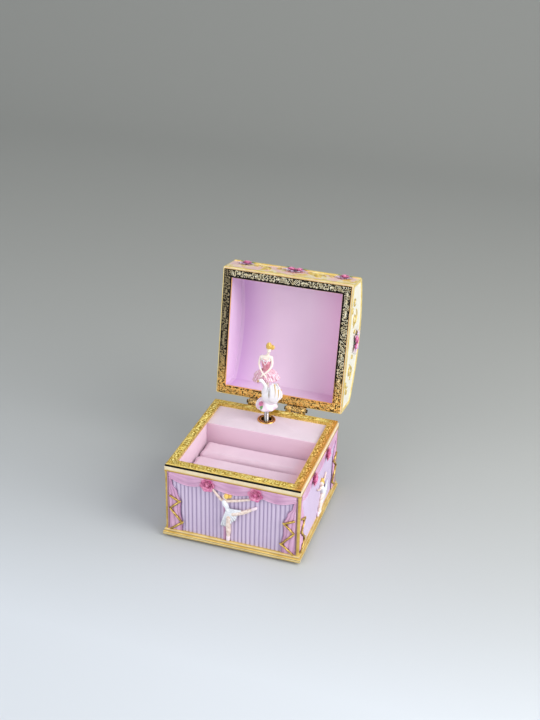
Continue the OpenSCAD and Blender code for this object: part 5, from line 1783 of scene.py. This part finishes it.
@dataclass
class Figurine:
    """The dancer who stands behind a swan on a flowered mound, all turning on the stem."""

    pivot: Pair = (-2.8, 35.8)
    mound_z: float = 71.5
    mound_h: float = 7.5
    lean: float = -12.0
    waist_z: float = 102.2
    skirt_r: float = 10.7
    skirt_deep: float = 0.62
    strands: int = 34
    tips: tuple[float, ...] = (23.2, 24.8, 24.4, 22.7, 20.2)
    face: Point = (2.3, -1.2, 121.6)
    arm: tuple[tuple[float, ...], ...] = (
        (4.2, -0.4, 113.5, 1.1), (4.9, -0.8, 110.8, 0.98), (5.1, -1.6, 108.0, 0.82), (3.6, -3.4, 105.4, 0.78),
        (1.3, -5.2, 102.9, 0.58), (-1.2, -6.0, 101.0, 0.66), (-2.2, -6.4, 99.6, 0.5))
    leg: tuple[tuple[float, ...], ...] = ((1.3, 0.2, 99.5, 1.7), (1.2, 0.2, 92.5, 1.35),
                                          (1.0, 0.4, 88.4, 1.15),
                                          (0.9, 0.3, 83.0, 0.8), (0.8, 0.2, 78.6, 0.8))

    def build(self) -> None:
        """Makes the mound, the swan and the dancer."""
        self.mound()
        self.swan()
        self.dancer()
        self.tutu()

    def at(self, x: float, y: float, z: float) -> Vector:
        """A place given from the pivot and from the mound's foot."""
        return Vector((self.pivot[0] + x, self.pivot[1] + y, self.mound_z + z))

    def mound(self) -> None:
        """A lobed mound with a rose and its leaf at the front."""
        bm = bmesh.new()
        outline = [(0.01, self.mound_h + 0.2), (3.0, self.mound_h + 0.1), (5.6, self.mound_h - 0.6),
                   (7.0, 5.2),
                   (7.9, 3.4), (8.3, 1.9), (7.9, 0.5), (7.0, 0.0), (2.9, 0.0)]
        Workshop.lathe(bm, outline, (*self.pivot, self.mound_z), 72)
        # The fold layer paints shade in the hollows of the swirl.
        layer = bm.verts.layers.float.new("fold")
        for v in bm.verts:
            place = v.co - Vector((*self.pivot, self.mound_z))
            r = math.hypot(place.x, place.y)
            if r > 3.2:
                a = math.atan2(place.y, place.x)
                swirl = math.sin(7 * a + 0.7 * place.z) * 0.32 + math.sin(3 * a - 0.5 * place.z) * 0.22
                k = min(1.0, (r - 3.2) / 3)
                v.co.x += place.x / r * swirl * k
                v.co.y += place.y / r * swirl * k
                v[layer] = max(0.0, 0.4 - 1.1 * swirl) * k
        bmesh.ops.subdivide_edges(bm, edges=bm.edges[:], cuts=1, use_grid_fill=True, smooth=0.6)
        lay("flower_mound", bm, MOUND, "figurine", "figurine_mound")
        bm = bmesh.new()
        face = moved(self.at(-2.5, -6.1, 5.7)) @ turned(-16, "Z") \
            @ turned(52, "X")
        Workshop.rose(bm, face, 1.75, 1.2)
        lay("mound_rose_head", bm, ROSE, "figurine", "mound_rose")
        bm = bmesh.new()
        for x, y, z, angle in ((-0.9, -7.1, 4.9, 2.3), (-1.1, -7.4, 4.4, 2.9), (-4.0, -5.9, 5.6, -1.2)):
            stem = moved(self.at(x, y, z)) @ turned(-12, "Z") \
                @ turned(62, "X") @ Matrix.Rotation(angle, 4, "Z") \
                @ turned(LEAF_TILT, "X")
            Workshop.petal(bm, stem, 3.0, 1.7, 0.3)
        lay("mound_leaves", bm, LEAF, "figurine")

    def swan(self) -> None:
        """A white swan facing left, neck in an S, wings half raised with gilded quills."""
        bm = bmesh.new()
        Workshop.ball(bm, self.at(4.1, -2.6, 12.1), (6.7, 5.0, 7.3), turned(-8, "Y"))
        Workshop.ball(bm, self.at(0.7, -3.0, 12.2), (3.9, 4.3, 6.4))
        Workshop.limbs(bm, self.at, ((8.2, -2.6, 14.4, 2.8), (11.6, -2.4, 16.8, 0.9)),
                       ((-0.2, -4.0, 15.2, 3.1), (0.7, -5.3, 18.8, 2.1), (0.5, -6.0, 21.4, 1.45),
                        (-0.5, -6.5, 23.6, 1.3), (-1.8, -6.6, 25.2, 1.3), (-2.9, -6.5, 25.5, 1.45)))
        Workshop.ball(bm, self.at(-2.9, -6.5, 25.6), (1.85, 1.5, 1.6), turned(-12, "Y"))
        seat(Workshop.fuse(Workshop.piece("swan_body", bm, WHITE), 0.4, 8), "figurine", "swan")
        feathers, gold = bmesh.new(), bmesh.new()
        for hand in (-1, 1):
            for i in range(len(self.tips)):
                self.quill(feathers, gold, hand, i)
        lay("swan_wings", feathers, WHITE, "figurine", "swan")
        # A beige stripe between the neck and the wing: painted shade of the crease there.
        crease = bmesh.new()
        Workshop.limbs(crease, self.at, ((3.4, -6.0, 17.6, 0.3), (3.6, -7.0, 14.9, 0.62),
                                         (3.9, -7.3, 12.4, 0.3)),
                       sides=10)
        lay("swan_crease_shade", crease, CREASE_SHADE, "figurine")
        Workshop.limbs(gold, self.at, ((-4.2, -6.5, 25.3, 0.8), (-6.0, -6.5, 24.4, 0.28)), sides=8)
        lay("beak_and_quills", gold, BEAK, "figurine", "swan")

    def quill(self, feathers: Mesh, gold: Mesh, hand: int, i: int) -> None:
        """Draws one long wing feather with its gilded edge.

        Args:
            feathers: takes the feather.
            gold: takes its gilded quill.
            hand: -1 for the near wing, 1 for the far one, which is folded lower.
            i: its place in the wing, from the breast.
        """
        low = 0.0 if hand < 0 else 3.5
        foot = self.at(4.0 + 0.95 * i, -2.6 + hand * (4.2 - 0.2 * i), 9.6 - 0.45 * i)
        bow = self.at(7.4 + 1.15 * i, -2.6 + hand * (5.5 - 0.3 * i), 15.6 - 0.56 * i - low)
        tip = self.at(4.6 + 1.35 * i, -2.6 + hand * (4.0 - 0.3 * i), self.tips[i] - low)
        path, radii = [], []
        for s in range(13):
            t = s / 12
            path.append((foot * (1 - t) + bow * t) * (1 - t) + (bow * (1 - t) + tip * t) * t)
            radii.append(0.35 + 1.1 * math.sin(math.pi * (0.18 + 0.74 * t)) ** 0.8)
        Workshop.tube(feathers, path, radii, 10, 0.6)
        lift = Vector((0.5, hand * 0.62, 0.1))
        if i in (2, 4):
            Workshop.tube(gold, [p + lift for p in path[3:]], [0.11 + 0.035 * s for s in range(10)], 6)

    def dancer(self) -> None:
        """The dancer: bowed head, hair in a bun, arms crossed low over her skirt."""
        x0, y0 = self.pivot[0] - 1.4, self.pivot[1] + 0.6

        def p(x: float, y: float, z: float) -> Vector:
            """A place given from her spine, with its true height."""
            return Vector((x0 + x, y0 + y, z))

        skin = bmesh.new()
        Workshop.limbs(skin, p, ((-3.9, -0.3, 113.6, 1.15), (0.2, -0.2, 114.3, 1.5),
                                 (4.3, -0.3, 114.2, 1.15)))
        Workshop.ball(skin, p(0.1, -0.3, 111.6), (3.3, 2.1, 2.8))
        Workshop.limbs(skin, p, ((0.5, 0.0, 114.6, 1.25), (1.4, -0.4, 116.9, 1.0), (2.1, -0.9, 119.2, 1.0)))
        self.head(skin, p(*self.face))
        for hand in (-1, 1):
            def mirrored(x: float, y: float, z: float) -> Vector:
                """A place on this hand's side."""
                return p(hand * x, y, z)

            Workshop.limbs(skin, mirrored, self.arm, sides=14)
            Workshop.limbs(skin, mirrored, self.leg)
        seat(Workshop.fuse(Workshop.piece("dancer_skin", skin, SKIN_PALE), 0.3, 5), "figurine", "dancer")
        self.hair(p(*self.face))
        self.bodice(p)

    @staticmethod
    def head(bm: Mesh, place: Vector) -> None:
        """A calm, plain face, bowed a little towards the swan.

        Args:
            bm: the mesh to draw in.
            place: the middle of her head.
        """
        bow = turned(HEAD_BOW, "X")
        for centre, radii in (((0, 0.2, 0.8), (1.95, 2.45, 2.5)), ((0, -0.9, -1.0), (1.55, 1.6, 2.0)),
                              ((0, -2.55, -0.5), (0.3, 0.45, 0.55)), ((0, -2.1, -1.5), (0.55, 0.4, 0.22)),
                              ((-0.95, -1.75, -0.75), (0.6, 0.5, 0.5)),
                              ((0.95, -1.75, -0.75), (0.6, 0.5, 0.5))):
            Workshop.ball(bm, place + bow @ Vector(centre), radii, bow, 14)

    def hair(self, place: Vector) -> None:
        """Combed hair, drawn back in strands to a bun with a band of curls.

        Args:
            place: the middle of her head.
        """
        bm = bmesh.new()
        bow = turned(HEAD_BOW, "X")
        # The fold layer paints shade between the combed strands and in the bun's curls.
        layer = bm.verts.layers.float.new("fold")
        cap = Workshop.ball(bm, place + bow @ Vector((0, 0.7, 2.0)), (2.25, 2.7, 3.3), bow, 40)
        bun = place + Vector((2.15, 1.2, 0.9))
        for v in cap:
            local = v.co - bun
            comb = math.sin(math.atan2(local.z, local.x) * 17)
            v.co += (v.co - place).normalized() * 0.1 * comb
            v[layer] = max(0.0, -comb) * 0.7
        knot = Workshop.ball(bm, bun, (1.8, 1.6, 1.9), segments=32)
        for v in knot:
            local = v.co - bun
            comb = math.sin(math.atan2(local.z, local.y) * 3 + local.length * 6 + local.x * 4)
            v.co += local.normalized() * 0.12 * comb
            v[layer] = max(0.0, -comb) * 0.7
        lay("dancer_hair", bm, HAIR, "figurine", "dancer")

    def bodice(self, p: Callable[[float, float, float], Vector]) -> None:
        """A fitted bodice with a pointed waist, a white neckline and straps.

        Args:
            p: gives a place from the dancer's spine.
        """
        bm = bmesh.new()
        stations = ((99.4, 2.6), (100.6, 2.65), (102.2, 2.2), (104.4, 2.5), (107.0, 3.15), (109.2, 3.55),
                    (110.9, 3.65), (111.8, 3.35))
        layer = bm.verts.layers.float.new("fold")
        body = Workshop.tube(bm, [p(0, -0.3, z) for z, _ in stations], [r for _, r in stations], 40, 0.74)
        for v in body:
            side = v.co.x - p(0, 0, 0).x
            if v.co.y < p(0, -0.3, 0).y and v.co.z < 100.8:
                v.co.z -= max(0.0, 1.9 - abs(side) * 1.1)
            if v.co.z > 111.0:
                v.co.z += 0.9 * abs(math.sin(side * 1.0)) - (0.8 if abs(side) < 0.6 else 0.0)
            # Painted shade in streaks down the bodice, below the chest.
            v[layer] = 0.5 * max(0.0, math.sin(abs(side) * 5.5)) * (v.co.z < 108)
        for hand in (-1, 1):
            Workshop.ball(bm, p(hand * 1.45, -1.7, 110.2), (1.55, 1.25, 1.4), segments=18)
        lay("dancer_bodice", bm, BODICE, "figurine", "dancer")
        trim = bmesh.new()
        ring = []
        for i in range(33):
            a = math.tau * i / 32
            ring.append(p(3.5 * math.cos(a), -0.3 + 2.65 * math.sin(a), 111.9 + 0.35 * math.cos(6 * a)))
        Workshop.tube(trim, ring, [0.3 + 0.1 * (i % 2) for i in range(33)], 8)
        for hand in (-1, 1):
            Workshop.tube(trim, [p(hand * 2.6, -2.1, 111.8), p(hand * 3.2, -1.4, 114.0),
                                 p(hand * 3.3, 0.2, 115.2), p(hand * 2.8, 1.6, 112.4)], [0.28] * 4, 8)
            Workshop.limb(trim, (p(hand * 0.2, -3.1, 108.6), 0.22), (p(hand * 1.7, -2.9, 111.6), 0.3),
                          sides=8)
        lay("bodice_trim", trim, WHITE, "figurine", "dancer")

    def tutu(self) -> None:
        """A tilted skirt of four ruffled layers, gathered into fine strands."""
        bm = bmesh.new()
        tip = moved(self.pivot[0] - 2.9, self.pivot[1] + 1.5, self.waist_z) @ turned(self.lean, "Y")
        for layer, (reach, drop, lift) in enumerate(((1.0, 7.8, 0.0), (0.95, 6.4, 0.4), (0.86, 4.8, 0.7),
                                                     (0.70, 2.9, 0.8))):
            def strand(u: float) -> float:
                """How high a gathered strand stands, from 0 in its groove to 1."""
                return abs(math.sin(math.pi * (self.strands * u + 0.35 * math.sin(math.tau * 5 * u + layer)
                                               + 0.3 * layer)))

            def ruffle(u: float) -> float:
                """The slow wave of the hem round the skirt."""
                return math.sin(math.tau * ((10 - layer) * u
                                            + 0.13 * math.sin(math.tau * 3 * u) + 0.2 * layer))

            def shape(u: float, w: float) -> Vector:
                """A point of the layer: round, then out and down."""
                a = math.tau * u
                r = 2.3 + (self.skirt_r * reach - 2.3) * w * (1 + 0.06 * w * ruffle(u))
                z = lift - drop * w ** 1.5 + 0.45 * w ** 1.5 * ruffle(u) + 0.3 * min(1.0, 2 * w) * strand(u)
                return tip @ Vector((r * math.cos(a), r * math.sin(a) * (self.skirt_deep + 0.3 * (1 - w)), z))

            def depth(u: float, w: float) -> float:
                """The grooves' shade, and a little more near the waist."""
                return min(1.0, (1 - strand(u)) ** 1.3 + 0.35 * max(0.0, 0.3 - w))

            Workshop.sheet(bm, 7 * self.strands, 12, shape, depth, thick=0.28)
        bmesh.ops.remove_doubles(bm, verts=bm.verts[:], dist=WELD)
        lay("ruffled_tutu", bm, TUTU, "figurine", "tutu")


# ---------------------------------------------------------------------------------------------


def main() -> None:
    """Builds the studio and dresses the box, sub-assembly by sub-assembly."""
    logging.basicConfig(level=logging.INFO, format="%(message)s")
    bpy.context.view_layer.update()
    frames = (GiltFrame(Ground.GOLD, 62.2, 46.8, 0.26), GiltFrame(Ground.BLACK, 63.15, 47.2, 0.2, seed=9))
    for part in (Studio(), Case(), StagePanels(), *frames, RingTray(), Lid(), Fittings(), Figurine()):
        part.build()
        log.info("built %s", type(part).__name__)


if __name__ == "__main__":
    main()
